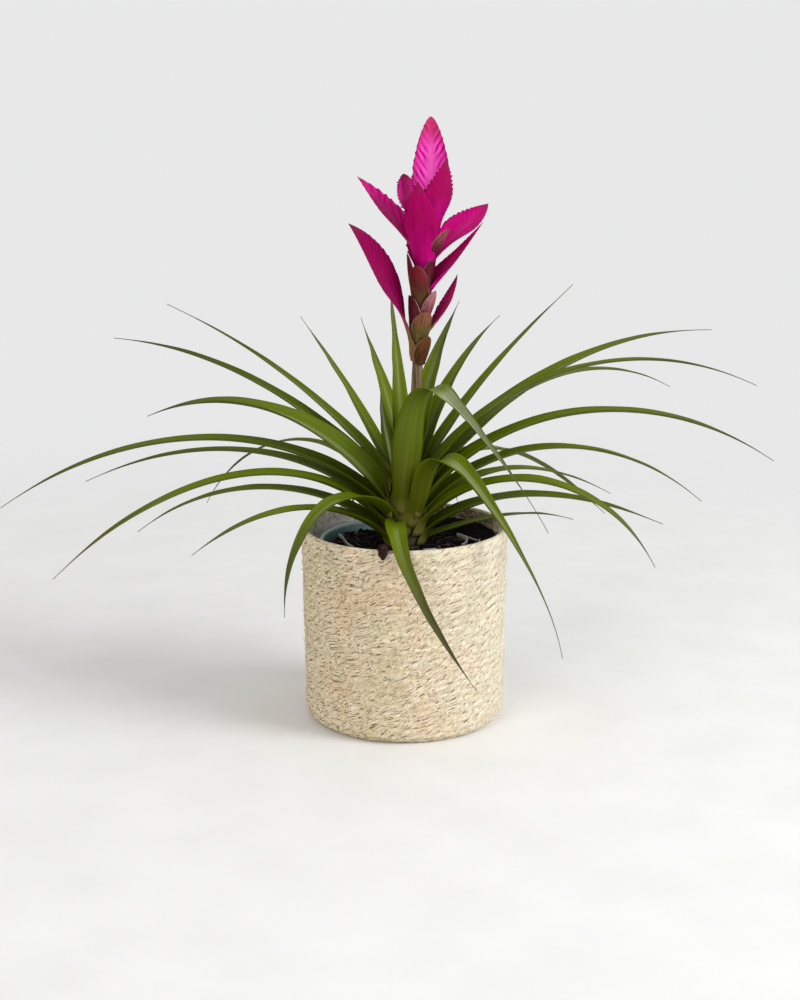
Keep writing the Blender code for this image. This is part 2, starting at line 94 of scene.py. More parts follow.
class Finish:
    """A surface finish: one shader and the nodes that vary its colour and relief."""

    def __init__(self, name, **fixed):
        self.material = bpy.data.materials.new(name)
        self.material.use_nodes = True
        self.tree = self.material.node_tree
        self.shader = self.tree.nodes["Principled BSDF"]
        for socket, value in fixed.items():
            self.shader.inputs[socket.replace("_", " ")].default_value = value

    def add(self, kind, inputs, **settings):
        node = self.tree.nodes.new("ShaderNode" + kind)
        for setting, value in settings.items():
            setattr(node, setting, value)
        for socket, value in inputs.items():
            self.feed(node.inputs[socket], value)
        return node

    def feed(self, socket, value):
        if isinstance(value, bpy.types.NodeSocket):
            self.tree.links.new(value, socket)
        else:
            socket.default_value = value

    def math(self, operation, *values):
        return self.add("Math", dict(enumerate(values)), operation=operation).outputs[0]

    def times(self, first, second):
        return self.math("MULTIPLY", first, second)

    def plus(self, first, second):
        return self.math("ADD", first, second)

    def minus(self, first, second):
        return self.math("SUBTRACT", first, second)

    def mix(self, share, first, second, blend="MIX"):
        inputs = {0: share, 6: first, 7: second}
        return self.add("Mix", inputs, data_type="RGBA", blend_type=blend).outputs[2]

    def tint(self, share, body, glaze):
        return self.mix(share, body, glaze, "MULTIPLY")

    def span(self, value, low, high, to_low=0.0, to_high=1.0):
        """Runs from to_low to to_high as the value goes from low to high, eased at both ends."""
        inputs = {0: value, 1: low, 2: high, 3: to_low, 4: to_high}
        return self.add("MapRange", inputs, interpolation_type="SMOOTHSTEP").outputs[0]

    def ramp(self, share, *stops):
        """A run of colours, each stop given as its place and its red, green and blue."""
        node = self.add("ValToRGB", {0: share})
        stops = [(place, paint(*shade)) for place, *shade in stops]
        bar = node.color_ramp
        bar.elements[0].position, bar.elements[0].color = stops[0]
        bar.elements[1].position, bar.elements[1].color = stops[-1]
        for place, shade in stops[1:-1]:
            bar.elements.new(place).color = shade
        return node.outputs[0]

    def place(self):
        return self.add("TexCoord", {}).outputs["Object"]

    def mark(self, name):
        return self.add("Attribute", {}, attribute_name=name).outputs["Fac"]

    def apart(self, vector):
        return self.add("SeparateXYZ", {0: vector}).outputs

    def stretched(self, vector, by):
        return self.add("VectorMath", {0: vector, 1: by}, operation="MULTIPLY").outputs[0]

    def grain(self, where, size_mm=None, scale=1.0, detail=2.0, rough=0.5):
        """Cloudy noise, its clouds about size_mm across."""
        scale = scale if size_mm is None else 1 / (size_mm * MM)
        inputs = {"Vector": where, "Scale": scale, "Detail": detail, "Roughness": rough}
        return self.add("TexNoise", inputs).outputs[0]

    def fibres(self, x, y, z=0.0, detail=2.0, rough=0.5):
        """Noise drawn out by whatever the surface's own x, y and z have been multiplied by."""
        where = self.add("CombineXYZ", {0: x, 1: y, 2: z}).outputs[0]
        return self.grain(where, detail=detail, rough=rough)

    def relief(self, height, depth_mm, strength=1.0):
        inputs = {"Height": height, "Distance": depth_mm * MM, "Strength": strength}
        self.feed(self.shader.inputs["Normal"], self.add("Bump", inputs).outputs[0])

    def colour(self, value):
        self.feed(self.shader.inputs["Base Color"], value)


def put(name, data):
    """A new object in the scene."""
    thing = bpy.data.objects.new(name, data)
    bpy.context.scene.collection.objects.link(thing)
    return thing


def make_piece(name, points, faces, finish, stands_for=(), marks=None, maps=None):
    """A smooth piece from points in millimetres, riding on the pot.

    marks are named values for the finish to read, one for each point or one for them all.
    """
    mesh = bpy.data.meshes.new(name)
    mesh.from_pydata((np.asarray(points) * MM).tolist(), [], faces)
    mesh.materials.append(finish.material)
    mesh.shade_smooth()
    for label, values in (marks or {}).items():
        layer = mesh.attributes.new(label, "FLOAT", "POINT")
        layer.data.foreach_set("value", np.full(len(points), values, np.float32))
    if maps is not None:
        layer = mesh.uv_layers.new(name="weave")
        layer.data.foreach_set("uv", np.asarray(maps, np.float32).ravel())
    piece = put(name, mesh)
    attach(piece, "root")
    if stands_for:
        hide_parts(*stands_for)
    return piece


def tube_faces(rings, around):
    """Quads that join each ring of points to the next one."""
    here = np.arange(around)
    after = (here + 1) % around
    start = np.arange(rings - 1)[:, None] * around
    corners = [start + here, start + after, start + around + after, start + around + here]
    return np.stack(corners, axis=-1).reshape(-1, 4).tolist()


def shifted(faces, base):
    return [[base + corner for corner in face] for face in faces]


def rod_faces(rings, around, base=0):
    """Faces of a rod of rings, closed by a flat end at each."""
    ring = np.arange(around)
    last = ring + (rings - 1) * around
    return shifted(tube_faces(rings, around) + [ring[::-1].tolist(), last.tolist()], base)


def sheet_faces(rings, across):
    """Faces of a thin sheet whose rings run over its top and back under it, closed all round."""
    around = 2 * across
    last = (rings - 1) * around
    faces = tube_faces(rings, around)
    for k in range(across - 1):
        far = around - 1 - k
        faces.append([k + 1, k, far, far - 1])
        faces.append([last + k, last + k + 1, last + far - 1, last + far])
    return faces


def unit(rows):
    return rows / np.linalg.norm(rows, axis=1)[:, None]


def circle(radius, angle, height=0.0):
    """Points at each angle, radius and height."""
    radius, angle, height = np.broadcast_arrays(radius, angle, height)
    return np.stack([radius * np.cos(angle), radius * np.sin(angle), height], axis=-1)


def turned(rings, low_pole, high_pole):
    """Points and faces of a turned body from its rings and the two points on its axis."""
    count, around = rings.shape[:2]
    points = np.concatenate([rings.reshape(-1, 3), [low_pole, high_pole]])
    last = (count - 1) * around
    faces = tube_faces(count, around)
    low, high = count * around, count * around + 1
    faces += [[low, (k + 1) % around, k] for k in range(around)]
    faces += [[last + k, last + (k + 1) % around, high] for k in range(around)]
    return points, faces


def bulge(across, fullness):
    """0 at each whole number and 1 half way between."""
    return 1 - np.abs(2 * (across % 1) - 1) ** fullness


def straw_finish():
    finish = Finish("straw", Roughness=0.86, Specular_IOR_Level=0.25)
    twist, row, _ = finish.apart(finish.add("UVMap", {}, uv_map="weave").outputs[0])
    place = finish.place()
    x, y, _ = finish.apart(place)
    patch = finish.grain(place, 26, detail=3)
    clump = finish.grain(place, 5, detail=2)
    speck = finish.grain(place, 1.0, detail=3, rough=0.7)
    fibre = finish.fibres(finish.times(twist, 30), finish.times(row, 1.6), speck, detail=3, rough=0.65)
    straws = ((0.28, 176, 156, 124), (0.42, 226, 212, 186), (0.56, 242, 232, 212), (0.72, 255, 252, 242))
    body = finish.ramp(fibre, *straws)
    warm = finish.ramp(patch, (0.34, 244, 245, 232), (0.5, 253, 250, 243), (0.66, 254, 243, 230))
    body = finish.tint(0.9, body, warm)
    flecks = finish.ramp(speck, (0.3, 158, 138, 106), (0.4, 236, 228, 212), (0.56, 255, 255, 255))
    body = finish.tint(0.85, body, flecks)
    body = finish.tint(0.6, body, finish.ramp(clump, (0.3, 224, 216, 200), (0.62, 255, 255, 255)))

    # The right side, towards the key lamp, is painted paler and cooler: painted light.
    painted_lamp_light = finish.span(x, -0.03, 0.085, 0.0, 0.5)
    body = finish.mix(painted_lamp_light, body, finish.tint(1.0, body, paint(244, 248, 255)))
    body = finish.mix(finish.times(painted_lamp_light, 0.5), body, paint(250, 247, 240))

    # Soft shade in the joints between turns and the seams between twists, away from the binding.
    loose = finish.minus(1.0, finish.mark("bound"))
    joint = finish.math("PINGPONG", row, 0.5)
    seam = finish.math("PINGPONG", twist, 0.5)
    ragged = finish.times(finish.minus(speck, 0.5), 0.4)
    joint_line = finish.times(finish.span(finish.plus(joint, ragged), 0.09, 0.0), 0.34)
    seam_line = finish.times(finish.span(finish.plus(seam, ragged), 0.09, 0.0), 0.6)
    lines = finish.times(finish.math("MAXIMUM", joint_line, seam_line), loose)
    body = finish.mix(lines, body, paint(176, 150, 110))

    # Painted shade in the small pits where a seam meets a joint.
    off_joint = finish.math("POWER", finish.math("DIVIDE", joint, 0.18), 2.0)
    off_seam = finish.math("POWER", finish.math("DIVIDE", seam, 0.085), 2.0)
    off_pit = finish.plus(finish.plus(off_joint, off_seam), finish.span(clump, 0.62, 0.38, -0.5, 1.3))
    off_pit = finish.plus(off_pit, finish.times(ragged, 6.0))
    pit_shade = finish.times(finish.span(off_pit, 1.1, 0.5), loose)
    body = finish.mix(finish.times(pit_shade, 0.85), body, paint(98, 78, 50))

    # Painted shade in the gaps along the twist, deeper on the left, away from the key lamp; and pale straws
    # along it.
    gap = finish.fibres(finish.times(twist, 6), finish.times(row, 3.2), detail=3)
    gap_shade_by_side = finish.span(x, 0.06, -0.05, 0.6, 1.0)
    body = finish.mix(finish.times(finish.span(gap, 0.44, 0.37), gap_shade_by_side), body, paint(110, 88, 58))
    body = finish.mix(finish.span(gap, 0.6, 0.72, 0.0, 0.7), body, paint(255, 253, 246))

    # Inside at the back the straw is painted pale on the left, as painted light where the key lamp reaches
    # the wall, and darker brown on the right, partly browner straw and partly painted shade.
    back = finish.times(finish.mark("inside"), finish.span(y, 0.0, 0.03))
    painted_light_inside = finish.times(back, finish.span(x, -0.01, -0.035, 0.0, 0.95))
    brown = finish.times(back, finish.span(x, 0.0, 0.03, 0.0, 0.8))
    body = finish.mix(painted_light_inside, body, finish.ramp(gap, (0.38, 126, 106, 74), (0.45, 255, 252, 246)))
    body = finish.mix(brown, body, finish.ramp(gap, (0.38, 74, 56, 34), (0.6, 186, 160, 120)))
    finish.colour(body)
    finish.relief(finish.plus(fibre, finish.times(speck, 0.7)), 0.5, 0.8)
    return finish


straw = straw_finish()


def wall_line(height):
    """The wall leans out a little from its foot to its rim."""
    return BASKET_FOOT_RADIUS + (BASKET_RADIUS - BASKET_FOOT_RADIUS) * (height / BASKET_HEIGHT)


def basket_profile():
    """Ring by ring up the outside, over the rim and down the inside: radius, height and the way
    out of the wall in radius and height; and how far along the wall each ring is."""
    corner, wall = BASKET_CORNER, BASKET_WALL
    lean = atan2(BASKET_RADIUS - BASKET_FOOT_RADIUS, BASKET_HEIGHT)
    rim = wall / 2
    flat = BASKET_FOOT_RADIUS - corner
    stops = [(radius, 0, 0, -1) for radius in np.linspace(8, flat, 12, endpoint=False)]
    for angle in np.linspace(0, pi / 2, 14):
        stops.append((flat + corner * sin(angle), corner - corner * cos(angle), sin(angle), -cos(angle)))
    for height in np.linspace(corner, BASKET_HEIGHT - rim, 132)[1:]:
        stops.append((wall_line(height), height, cos(lean), -sin(lean)))
    for angle in np.linspace(0, pi, 9)[1:]:
        across, up = cos(angle), sin(angle)
        stops.append((BASKET_RADIUS - rim + rim * across, BASKET_HEIGHT - rim + rim * up, across, up))
    for height in (*np.linspace(BASKET_HEIGHT - rim, 100, 30)[1:], 80, 60, 40, 20, 11):
        stops.append((wall_line(height) - wall, height, -1, 0))
    stops += [(flat, wall, 0, 1), (flat / 2, wall, 0, 1)]
    stops = np.array(stops)
    steps = np.hypot(*np.diff(stops[:, :2], axis=0).T)
    path = np.concatenate([[0], np.cumsum(steps)])
    return stops, path


def make_basket():
    stops, path = basket_profile()
    turn = np.arange(BASKET_ROUND) / BASKET_ROUND
    angle = tau * turn - pi
    out = circle(1, angle)
    up = np.array([0, 0, 1.0])
    rings = stops[:, 0][:, None, None] * out + stops[:, 1][:, None, None] * up
    flat_points = rings.reshape(-1, 3)
    shape = rings.shape[:2]
    coil, twining, lumps, wall, straws = (
        far * drift(flat_points, size, seed).reshape(shape) for seed, (size, far) in enumerate(STRAYS)
    )
    level = path[:, None] / ROPE + coil
    climb = -path[:, None] / TWIST_RISE + twining
    row = level - turn
    twist = TWISTS_ROUND * turn + climb
    rim_path = path[np.argmax(stops[:, 1])]
    bound = smoothstep((path - (rim_path - BOUND_RIM - BOUND_FADE)) / BOUND_FADE)
    bound = bound * smoothstep((rim_path + BOUND_RIM - path) / BOUND_FADE)
    rope = bulge(row, ROPE_FULLNESS)
    relief = ROPE_SWELL * rope + TWIST_SWELL * bulge(twist, TWIST_FULLNESS) * rope**0.5
    relief = relief + lumps + straws
    relief = (relief - RELIEF_MIDDLE) * (1 - BOUND_FLATNESS * bound[:, None]) + wall
    inside = smoothstep((path - rim_path) / INSIDE_FADE)[:, None]
    relief = relief * (1 - INSIDE_FLATNESS * inside) - INSIDE_SINK * inside
    normal = stops[:, 2][:, None, None] * out + stops[:, 3][:, None, None] * up
    rings = rings + relief[..., None] * normal
    rings[..., 2] = np.maximum(rings[..., 2], 0)
    points, faces = turned(rings, (0, 0, 0), (0, 0, BASKET_WALL))

    # Where each corner of each face lies in the weave: its twist and its turn of the rope.
    column = np.arange(BASKET_ROUND + 1) / BASKET_ROUND
    level = np.concatenate([level, level[:, :1]], axis=1)
    climb = np.concatenate([climb, climb[:, :1]], axis=1)
    weave = np.stack([TWISTS_ROUND * column + climb, level - column], axis=-1)
    quads = np.stack([weave[:-1, :-1], weave[:-1, 1:], weave[1:, 1:], weave[1:, :-1]], axis=2)
    fans = [np.stack([ring[:-1], ring[1:], ring[:-1]], axis=1) for ring in (weave[0], weave[-1])]
    maps = np.concatenate([part.reshape(-1, 2) for part in (quads, *fans)])
    marks = {"bound": np.concatenate([np.repeat(bound, BASKET_ROUND), [0, 0]])}
    marks["inside"] = np.concatenate([np.repeat(inside[:, 0], BASKET_ROUND), [0, 1]])
    make_piece("basket_weave", points, faces, straw, ["basket"], marks, maps)


make_basket()

# The wisps: single straws, a few tenths of a millimetre thick, that have worked loose from the
# rope. They lie on it mostly along its twist, and some ends stand out from it.

WISPS = 1100
WISP_LENGTHS = (5, 17)
WISP_GIRTHS = (0.08, 0.17)
RIM_WISPS = 160
RIM_WISP_LENGTHS = (5, 14)
RIM_WISP_GIRTHS = (0.12, 0.24)
RIM_WISP_LEVELS = (118, 131)
WISP_STEPS = 6
WISP_SLOPE = 24  # the slope of the rope's twist, in degrees


def thin_tubes(paths, girths, sides=3):
    """Points and faces of thin closed tubes, one along each path of points."""
    points, faces = [], []
    spin = tau * np.arange(sides)[:, None] / sides
    for path, girth in zip(paths, girths):
        forward = unit(np.gradient(path, axis=0))
        side = unit(np.cross(forward, (0.31, 0.17, 0.93)))
        section = np.cos(spin) * side[:, None] + np.sin(spin) * np.cross(side, forward)[:, None]
        slim = girth * (1 - 0.6 * np.abs(np.linspace(-1, 1, len(path))) ** 3)
        faces += rod_faces(len(path), sides, len(points))
        points.extend((path[:, None] + slim[:, None, None] * section).reshape(-1, 3))
    return points, faces


def wall_radius(height):
    """The wall's radius, drawn in where it rounds under at the foot."""
    low_corner = np.maximum(0.0, BASKET_CORNER - height)
    tuck = BASKET_CORNER - (BASKET_CORNER**2 - low_corner**2) ** 0.5
    return wall_line(height) - tuck


def make_wisps():
    chance = np.random.default_rng(12)
    paths, girths = [], []
    t = np.linspace(-0.5, 0.5, WISP_STEPS)
    for _ in range(WISPS):
        azimuth = chance.uniform(0, tau)
        height = chance.uniform(2, BASKET_HEIGHT - 3)
        slope = radians(chance.normal(WISP_SLOPE, 26))
        length = chance.uniform(*WISP_LENGTHS)
        curl = chance.normal(0, 0.05)
        lift = chance.uniform(0.1, 0.5) + 2.2 * chance.uniform(0, 1) ** 5
        heading = slope + curl * t * length
        level = np.clip(height + t * length * np.sin(heading), 0.8, BASKET_HEIGHT - 1)
        around = azimuth + t * length * np.cos(heading) / BASKET_RADIUS
        stand = 0.35 + lift * (t + 0.5) ** 2
        paths.append(circle(wall_radius(level) + stand, around, level))
        girths.append(chance.uniform(*WISP_GIRTHS))
    for _ in range(RIM_WISPS):
        azimuth = radians(chance.uniform(-65, 75)) if chance.uniform() < 0.6 else chance.uniform(0, tau)
        length = chance.uniform(*RIM_WISP_LENGTHS)
        level = chance.uniform(*RIM_WISP_LEVELS)
        slope = chance.uniform(-0.9, 0.9)
        level = np.minimum(level + t * length * sin(slope) * (1 + t), BASKET_HEIGHT + 1.5)
        around = azimuth + t * length * cos(slope) / BASKET_RADIUS
        stand = 0.3 + 1.2 * (t + 0.5) ** 2
        paths.append(circle(BASKET_RADIUS - BASKET_WALL - stand, around, level))
        girths.append(chance.uniform(*RIM_WISP_GIRTHS))
    points, faces = thin_tubes(paths, girths)
    finish = Finish("loose_straw", Roughness=0.8, Specular_IOR_Level=0.3)
    tint = finish.grain(finish.place(), 9, detail=3)
    finish.colour(finish.ramp(tint, (0.35, 205, 184, 138), (0.5, 238, 226, 196), (0.65, 252, 247, 232)))
    make_piece("basket_wisps", points, faces, finish)


make_wisps()

# ---- Liner ----------------------------------------------------------------------------------
# A cup of thin clear film that keeps the basket dry. It stands loose inside the wall, its top
# edge torn off unevenly, and one corner of it is folded out over the rim at the front.

FILM_SKIN = 0.3
LINER_ROUND = 144
LINER_LEVELS = 14
LINER_TOP = 122
LINER_TEAR = 6  # how far its torn edge goes up and down
LINER_GAP = 0.7  # from the basket's wall to its nearest crease
LINER_FLOOR = 4.4
LINER_FLOOR_RADIUS = 59
LINER_CORNER = 11  # height at which it turns up the wall
FLAP_AZIMUTH = -76
FLAP_SPAN = 7  # degrees of the rim that it covers
FLAP_ACROSS = 9
FLAP_SKIN = 0.25
FLAP_ROUTE = (  # reach and height, up the inside and over the rim
    (65.0, 127),
    (65.4, 131.5),
    (67.0, 134.7),
    (69.4, 135.0),
    (70.9, 133.8),
    (71.4, 131.6),
)


def film_finish():
    finish = Finish("clear_film", Roughness=0.22, Specular_IOR_Level=0.5)
    crinkle = finish.grain(finish.place(), 7, detail=3)
    finish.colour(finish.ramp(crinkle, (0.35, 205, 205, 200), (0.7, 244, 243, 240)))
    slant = finish.add("LayerWeight", {"Blend": 0.35}).outputs["Facing"]
    milky_and_sheen = finish.mark("milky_and_sheen")
    alpha = finish.plus(finish.span(slant, 0.2, 1.0, 0.05, 0.55), milky_and_sheen)
    finish.feed(finish.shader.inputs["Alpha"], finish.math("MINIMUM", alpha, 0.9))
    finish.relief(crinkle, 0.8, 0.5)
    return finish


film = film_finish()


def rings_of(profile, around):
    angle = tau * np.arange(around) / around
    return np.array([circle(radius, angle, height) for radius, height in profile])


def make_liner():
    angle = tau * np.arange(LINER_ROUND) / LINER_ROUND
    top = LINER_TOP + LINER_TEAR * drift(circle(60, angle), 17, 4)
    crease = 0.5 + 0.45 * drift(circle(60, angle), 5, 7)
    height = LINER_CORNER + (top - LINER_CORNER) * np.linspace(0, 1, LINER_LEVELS)[:, None]
    radius = wall_line(height) - BASKET_WALL - LINER_GAP - crease
    outer = circle(radius, angle, height)
    inner = circle(radius - FILM_SKIN, angle, height)
    under, over = LINER_FLOOR, LINER_FLOOR + FILM_SKIN
    base = rings_of([(20, under), (LINER_FLOOR_RADIUS, under)], LINER_ROUND)
    floor = rings_of([(LINER_FLOOR_RADIUS - FILM_SKIN, over), (20, over)], LINER_ROUND)
    rings = np.concatenate([base, outer, inner[::-1], floor])
    points, faces = turned(rings, (0, 0, under), (0, 0, over))

    # Its torn edge looks milky, and on the left the wall is made milky too, as a painted sheen where the
    # key lamp lights the film.
    milky_and_sheen = np.zeros(len(points))
    edge = len(base) + LINER_LEVELS
    milky_and_sheen[LINER_ROUND * (edge - 1) : LINER_ROUND * (edge + 1)] = 0.35
    azimuth = np.degrees(np.arctan2(points[:, 1], points[:, 0])) % 360
    left = smoothstep((azimuth - 105) / 25) * smoothstep((225 - azimuth) / 25)
    milky_and_sheen += 0.3 * left * smoothstep((points[:, 2] - 90) / 20)

    # The corner folded out over the rim droops a little past it.
    across = np.linspace(-0.5, 0.5, FLAP_ACROSS)
    azimuth = np.radians(FLAP_AZIMUTH + FLAP_SPAN * across)
    reach, height = np.array(FLAP_ROUTE).T[..., None]
    past_rim = (reach > BASKET_RADIUS) * (1.2 * np.abs(across) + 0.7 * np.sin(7 * across))
    flap = circle(reach, azimuth, height - past_rim)
    lining = flap - FLAP_SKIN * circle(1, azimuth)
    thick = np.concatenate([flap, lining[:, ::-1]], axis=1).reshape(-1, 3)
    flap_faces = [face[::-1] for face in sheet_faces(len(FLAP_ROUTE), FLAP_ACROSS)]
    faces += shifted(flap_faces, len(points))
    points = np.concatenate([points, thick])
    milky_and_sheen = np.concatenate([milky_and_sheen, np.full(len(thick), 0.06)])
    make_piece("liner_film", points, faces, film, ["liner"], {"milky_and_sheen": milky_and_sheen})


make_liner()

# ---- Nursery pot ----------------------------------------------------------------------------
# The grower's thin pot, moulded in grey-teal plastic with a rolled rim and a drained floor.
# It stands loose on the liner, and only its far rim shows inside the basket's mouth.

POT_FOOT = 5.2
POT_TOP = 124.5
POT_RIM_HEIGHT = 9
POT_FOOT_RADIUS = 43
POT_TOP_RADIUS = 56.5
POT_RIM_RADIUS = 58
POT_WALL = 1.3
POT_ROUND = 120
POT_BEAD = 1.3  # half the thickness of the rolled rim
DRAIN_HOLES = 6
DRAIN_RADIUS = 4
DRAIN_CIRCLE = 27  # radius at which they lie
DRILL_SIDES = 20


def pot_radius(height):
    share = (height - POT_FOOT) / (POT_TOP - POT_FOOT)
    return POT_FOOT_RADIUS + (POT_TOP_RADIUS - POT_FOOT_RADIUS) * share


def make_pot():
    below = POT_TOP - POT_RIM_HEIGHT
    profile = [(8, POT_FOOT), (POT_FOOT_RADIUS - 2, POT_FOOT), (POT_FOOT_RADIUS, POT_FOOT + 2)]
    profile += [(pot_radius(z), z) for z in np.linspace(15, below - 1, 8)]
    profile += [(pot_radius(below), below), (POT_RIM_RADIUS - 0.3, below), (POT_RIM_RADIUS, below + 0.4)]
    profile += [(POT_RIM_RADIUS, POT_TOP - 1.2)]
    for angle in np.linspace(20, 160, 6):
        bead = radians(angle)
        profile.append((POT_RIM_RADIUS - POT_BEAD + POT_BEAD * cos(bead), POT_TOP - 1.2 + 1.2 * sin(bead)))
    profile += [(pot_radius(z) - POT_WALL, z) for z in np.linspace(POT_TOP - 2, 9, 10)]
    profile += [(POT_FOOT_RADIUS - 3.5, POT_FOOT + POT_WALL), (8, POT_FOOT + POT_WALL)]
    points, faces = turned(rings_of(profile, POT_ROUND), (0, 0, POT_FOOT), (0, 0, POT_FOOT + POT_WALL))
    finish = Finish("pot_plastic", Roughness=0.42, Specular_IOR_Level=0.45)
    place = finish.place()
    height = finish.apart(place)[2]
    mist = finish.grain(place, 14, detail=4)
    wall = finish.ramp(mist, (0.3, 82, 116, 118), (0.55, 104, 139, 140), (0.75, 126, 160, 160))
    # The top of the rolled rim is painted paler: a painted highlight along its lip.
    rim = finish.span(height, (POT_TOP - 2.3) * MM, (POT_TOP - 0.7) * MM)
    finish.colour(finish.mix(rim, wall, paint(168, 188, 186)))
    finish.relief(finish.grain(place, 3, detail=3), 0.15, 0.4)
    pot = make_piece("nursery_pot_shell", points, faces, finish, ["nursery_pot"])

    # The drain holes are drilled through its floor.
    drill_points, drill_faces = [], []
    bit = rings_of([(DRAIN_RADIUS, POT_FOOT - 2), (DRAIN_RADIUS, POT_FOOT + 4)], DRILL_SIDES)
    for k in range(DRAIN_HOLES):
        drill_faces += rod_faces(2, DRILL_SIDES, len(drill_points))
        middle = circle(DRAIN_CIRCLE, tau * (k + 0.5) / DRAIN_HOLES)
        drill_points += (bit.reshape(-1, 3) + middle).tolist()
    drill_mesh = bpy.data.meshes.new("drill")
    drill_mesh.from_pydata((np.array(drill_points) * MM).tolist(), [], drill_faces)
    drill = put("drill", drill_mesh)
    holes = pot.modifiers.new("drain_holes", "BOOLEAN")
    holes.object = drill
    holes.operation = "DIFFERENCE"
    bpy.context.view_layer.update()
    drilled = bpy.data.meshes.new_from_object(pot.evaluated_get(bpy.context.evaluated_depsgraph_get()))
    pot.modifiers.clear()
    pot.data = drilled
    bpy.data.objects.remove(drill)


make_pot()

# ---- Potting soil ---------------------------------------------------------------------------
# Dark peat with bark crumbs, pressed round the roots. It has shrunk from the pot's wall, so its
# edge is ragged, and crumbs and root hairs lie on it.

SOIL_FLOOR = 6.9
SOIL_EDGE = 117.5  # its height at the pot's wall
SOIL_CROWN = 121  # and at the middle
SOIL_GAP = 0.7  # from the pot's wall
SOIL_BREAK = 0.6 * POT_TOP_RADIUS  # radius at which it begins to fall faster
SOIL_RINGS = 46
SOIL_LUMPS = ((9, 2.0), (4, 1.5), (1.8, 0.8))  # how long its lumps are, and how high
SOIL_SOCKET = (13.4, 100)  # radius and height of the hollow that the crown sits in
SOIL_ROUND = 180
CRUMBS = 420
CRUMB_SIZES = (0.7, 2.3)
SPILL_FROM = -42  # azimuths between which the spilled peat lies
SPILL_TO = 112
SPILL_STEPS = 90
SPILL_ROWS = 14
SPILL_REACH = (44, 62.5)
SPILL_TOP = 8.5
SPILL_LUMPS = ((5, 1.6), (2.2, 1.0))
ROOT_HAIRS = 150
HAIR_LENGTHS = (4, 13)
HAIR_GIRTHS = (0.1, 0.22)
HAIR_STEPS = 6
HAIR_REACH = 53.5  # none runs further out than this


def soil_finish():
    finish = Finish("peat", Roughness=0.92, Specular_IOR_Level=0.08)
    place = finish.place()
    crumb = finish.grain(place, 2.2, detail=5, rough=0.7)
    browns = ((0.36, 8, 5, 5), (0.54, 15, 9, 9), (0.68, 32, 21, 20), (0.82, 74, 56, 50))
    finish.colour(finish.ramp(crumb, *browns))
    finish.relief(crumb, 1.2, 0.9)
    return finish


peat = soil_finish()
# A crumb: its top, the five corners round it and its underside
CRUMB_ROUND = [(0.9, 0, 0.2), (0.2, 0.9, 0.1), (-0.8, 0.4, 0), (-0.5, -0.8, 0.1), (0.5, -0.8, -0.1)]
CRUMB_SHAPE = np.array([(0, 0, 1), *CRUMB_ROUND, (0, 0, -0.8)])
CRUMB_FACES = [(0, k, k % 5 + 1) for k in range(1, 6)] + [(6, k % 5 + 1, k) for k in range(1, 6)]


def soil_height(reach):
    low = SOIL_EDGE + 0.7 * (SOIL_CROWN - SOIL_EDGE)
    inner = SOIL_CROWN + (low - SOIL_CROWN) * np.clip((reach - 15) / (SOIL_BREAK - 15), 0, 1)
    outer = (reach - SOIL_BREAK) / (0.4 * POT_TOP_RADIUS)
    return inner + (SOIL_EDGE - low) * np.clip(outer, 0, 1)


def soil_radius(height):
    return pot_radius(height) - POT_WALL - SOIL_GAP


def lumpy(points, lumps, first_seed):
    """How high each point stands on lumps that are given by their length and height."""
    return sum(high * drift(points, long, seed) for seed, (long, high) in enumerate(lumps, first_seed))


def make_soil():
    chance = np.random.default_rng(5)
    levels = (SOIL_FLOOR, 30, 60, 90, 108)
    rings = list(rings_of([(soil_radius(height), height) for height in levels], SOIL_ROUND))
    reaches = np.linspace(soil_radius(SOIL_EDGE) - 0.6, SOIL_SOCKET[0] + 0.2, SOIL_RINGS)
    for number, reach in enumerate(reaches):
        ring = rings_of([(reach, 0)], SOIL_ROUND)[0]
        sink = 2.5 * smoothstep(1 - number / 5)
        ring[:, 2] = soil_height(reach) + lumpy(ring, SOIL_LUMPS, 1) - sink
        rings.append(ring)
    rings.append(rings_of([SOIL_SOCKET], SOIL_ROUND)[0])
    points, faces = turned(np.array(rings), (0, 0, SOIL_FLOOR), (0, 0, SOIL_SOCKET[1]))
    points = list(points)
    for _ in range(CRUMBS):
        reach = 18 + 34 * chance.uniform() ** 0.7
        azimuth = chance.uniform(0, tau)
        size = chance.uniform(*CRUMB_SIZES) * (1 + chance.uniform() ** 4)
        turn_by = chance.uniform(0, tau)
        spin = np.array([[cos(turn_by), -sin(turn_by), 0], [sin(turn_by), cos(turn_by), 0], [0, 0, 1]])
        shape = CRUMB_SHAPE * (size, size * chance.uniform(0.5, 1), size * chance.uniform(0.4, 0.9))
        shape = (shape + chance.normal(0, 0.12 * size, shape.shape)) @ spin.T
        place = circle(reach, azimuth, soil_height(reach) + 0.6)
        faces += shifted(CRUMB_FACES, len(points))
        points.extend(shape + place)
    make_piece("peat_and_crumbs", points, faces, peat, ["potting_soil"])


def make_spill():
    """A crescent of peat heaped over the pot's rim against the far right of the basket's wall."""
    angle = np.radians(np.linspace(SPILL_FROM, SPILL_TO, SPILL_STEPS))[:, None]
    swell = np.sin(np.linspace(0, pi, SPILL_STEPS))[:, None] ** 0.6
    reach = np.linspace(*SPILL_REACH, SPILL_ROWS)
    base = np.where(reach < POT_TOP_RADIUS - 2, soil_height(reach) - 1.5, POT_TOP + 0.3)
    crest = SPILL_TOP * smoothstep(np.linspace(0, 1, SPILL_ROWS) / 0.7) * swell
    over = circle(reach, angle, np.maximum(base + 0.4, soil_height(reach) + crest))
    under = circle(reach, angle, base)
    rings = np.concatenate([over, under[:, ::-1]], axis=1)
    rough = lumpy(rings.reshape(-1, 3), SPILL_LUMPS, 6).reshape(rings.shape[:2])
    rings[:, 1 : SPILL_ROWS - 1, 2] += rough[:, 1 : SPILL_ROWS - 1] * swell
    faces = [face[::-1] for face in rod_faces(SPILL_STEPS, 2 * SPILL_ROWS)]
    make_piece("spilled_peat", rings.reshape(-1, 3), faces, peat)


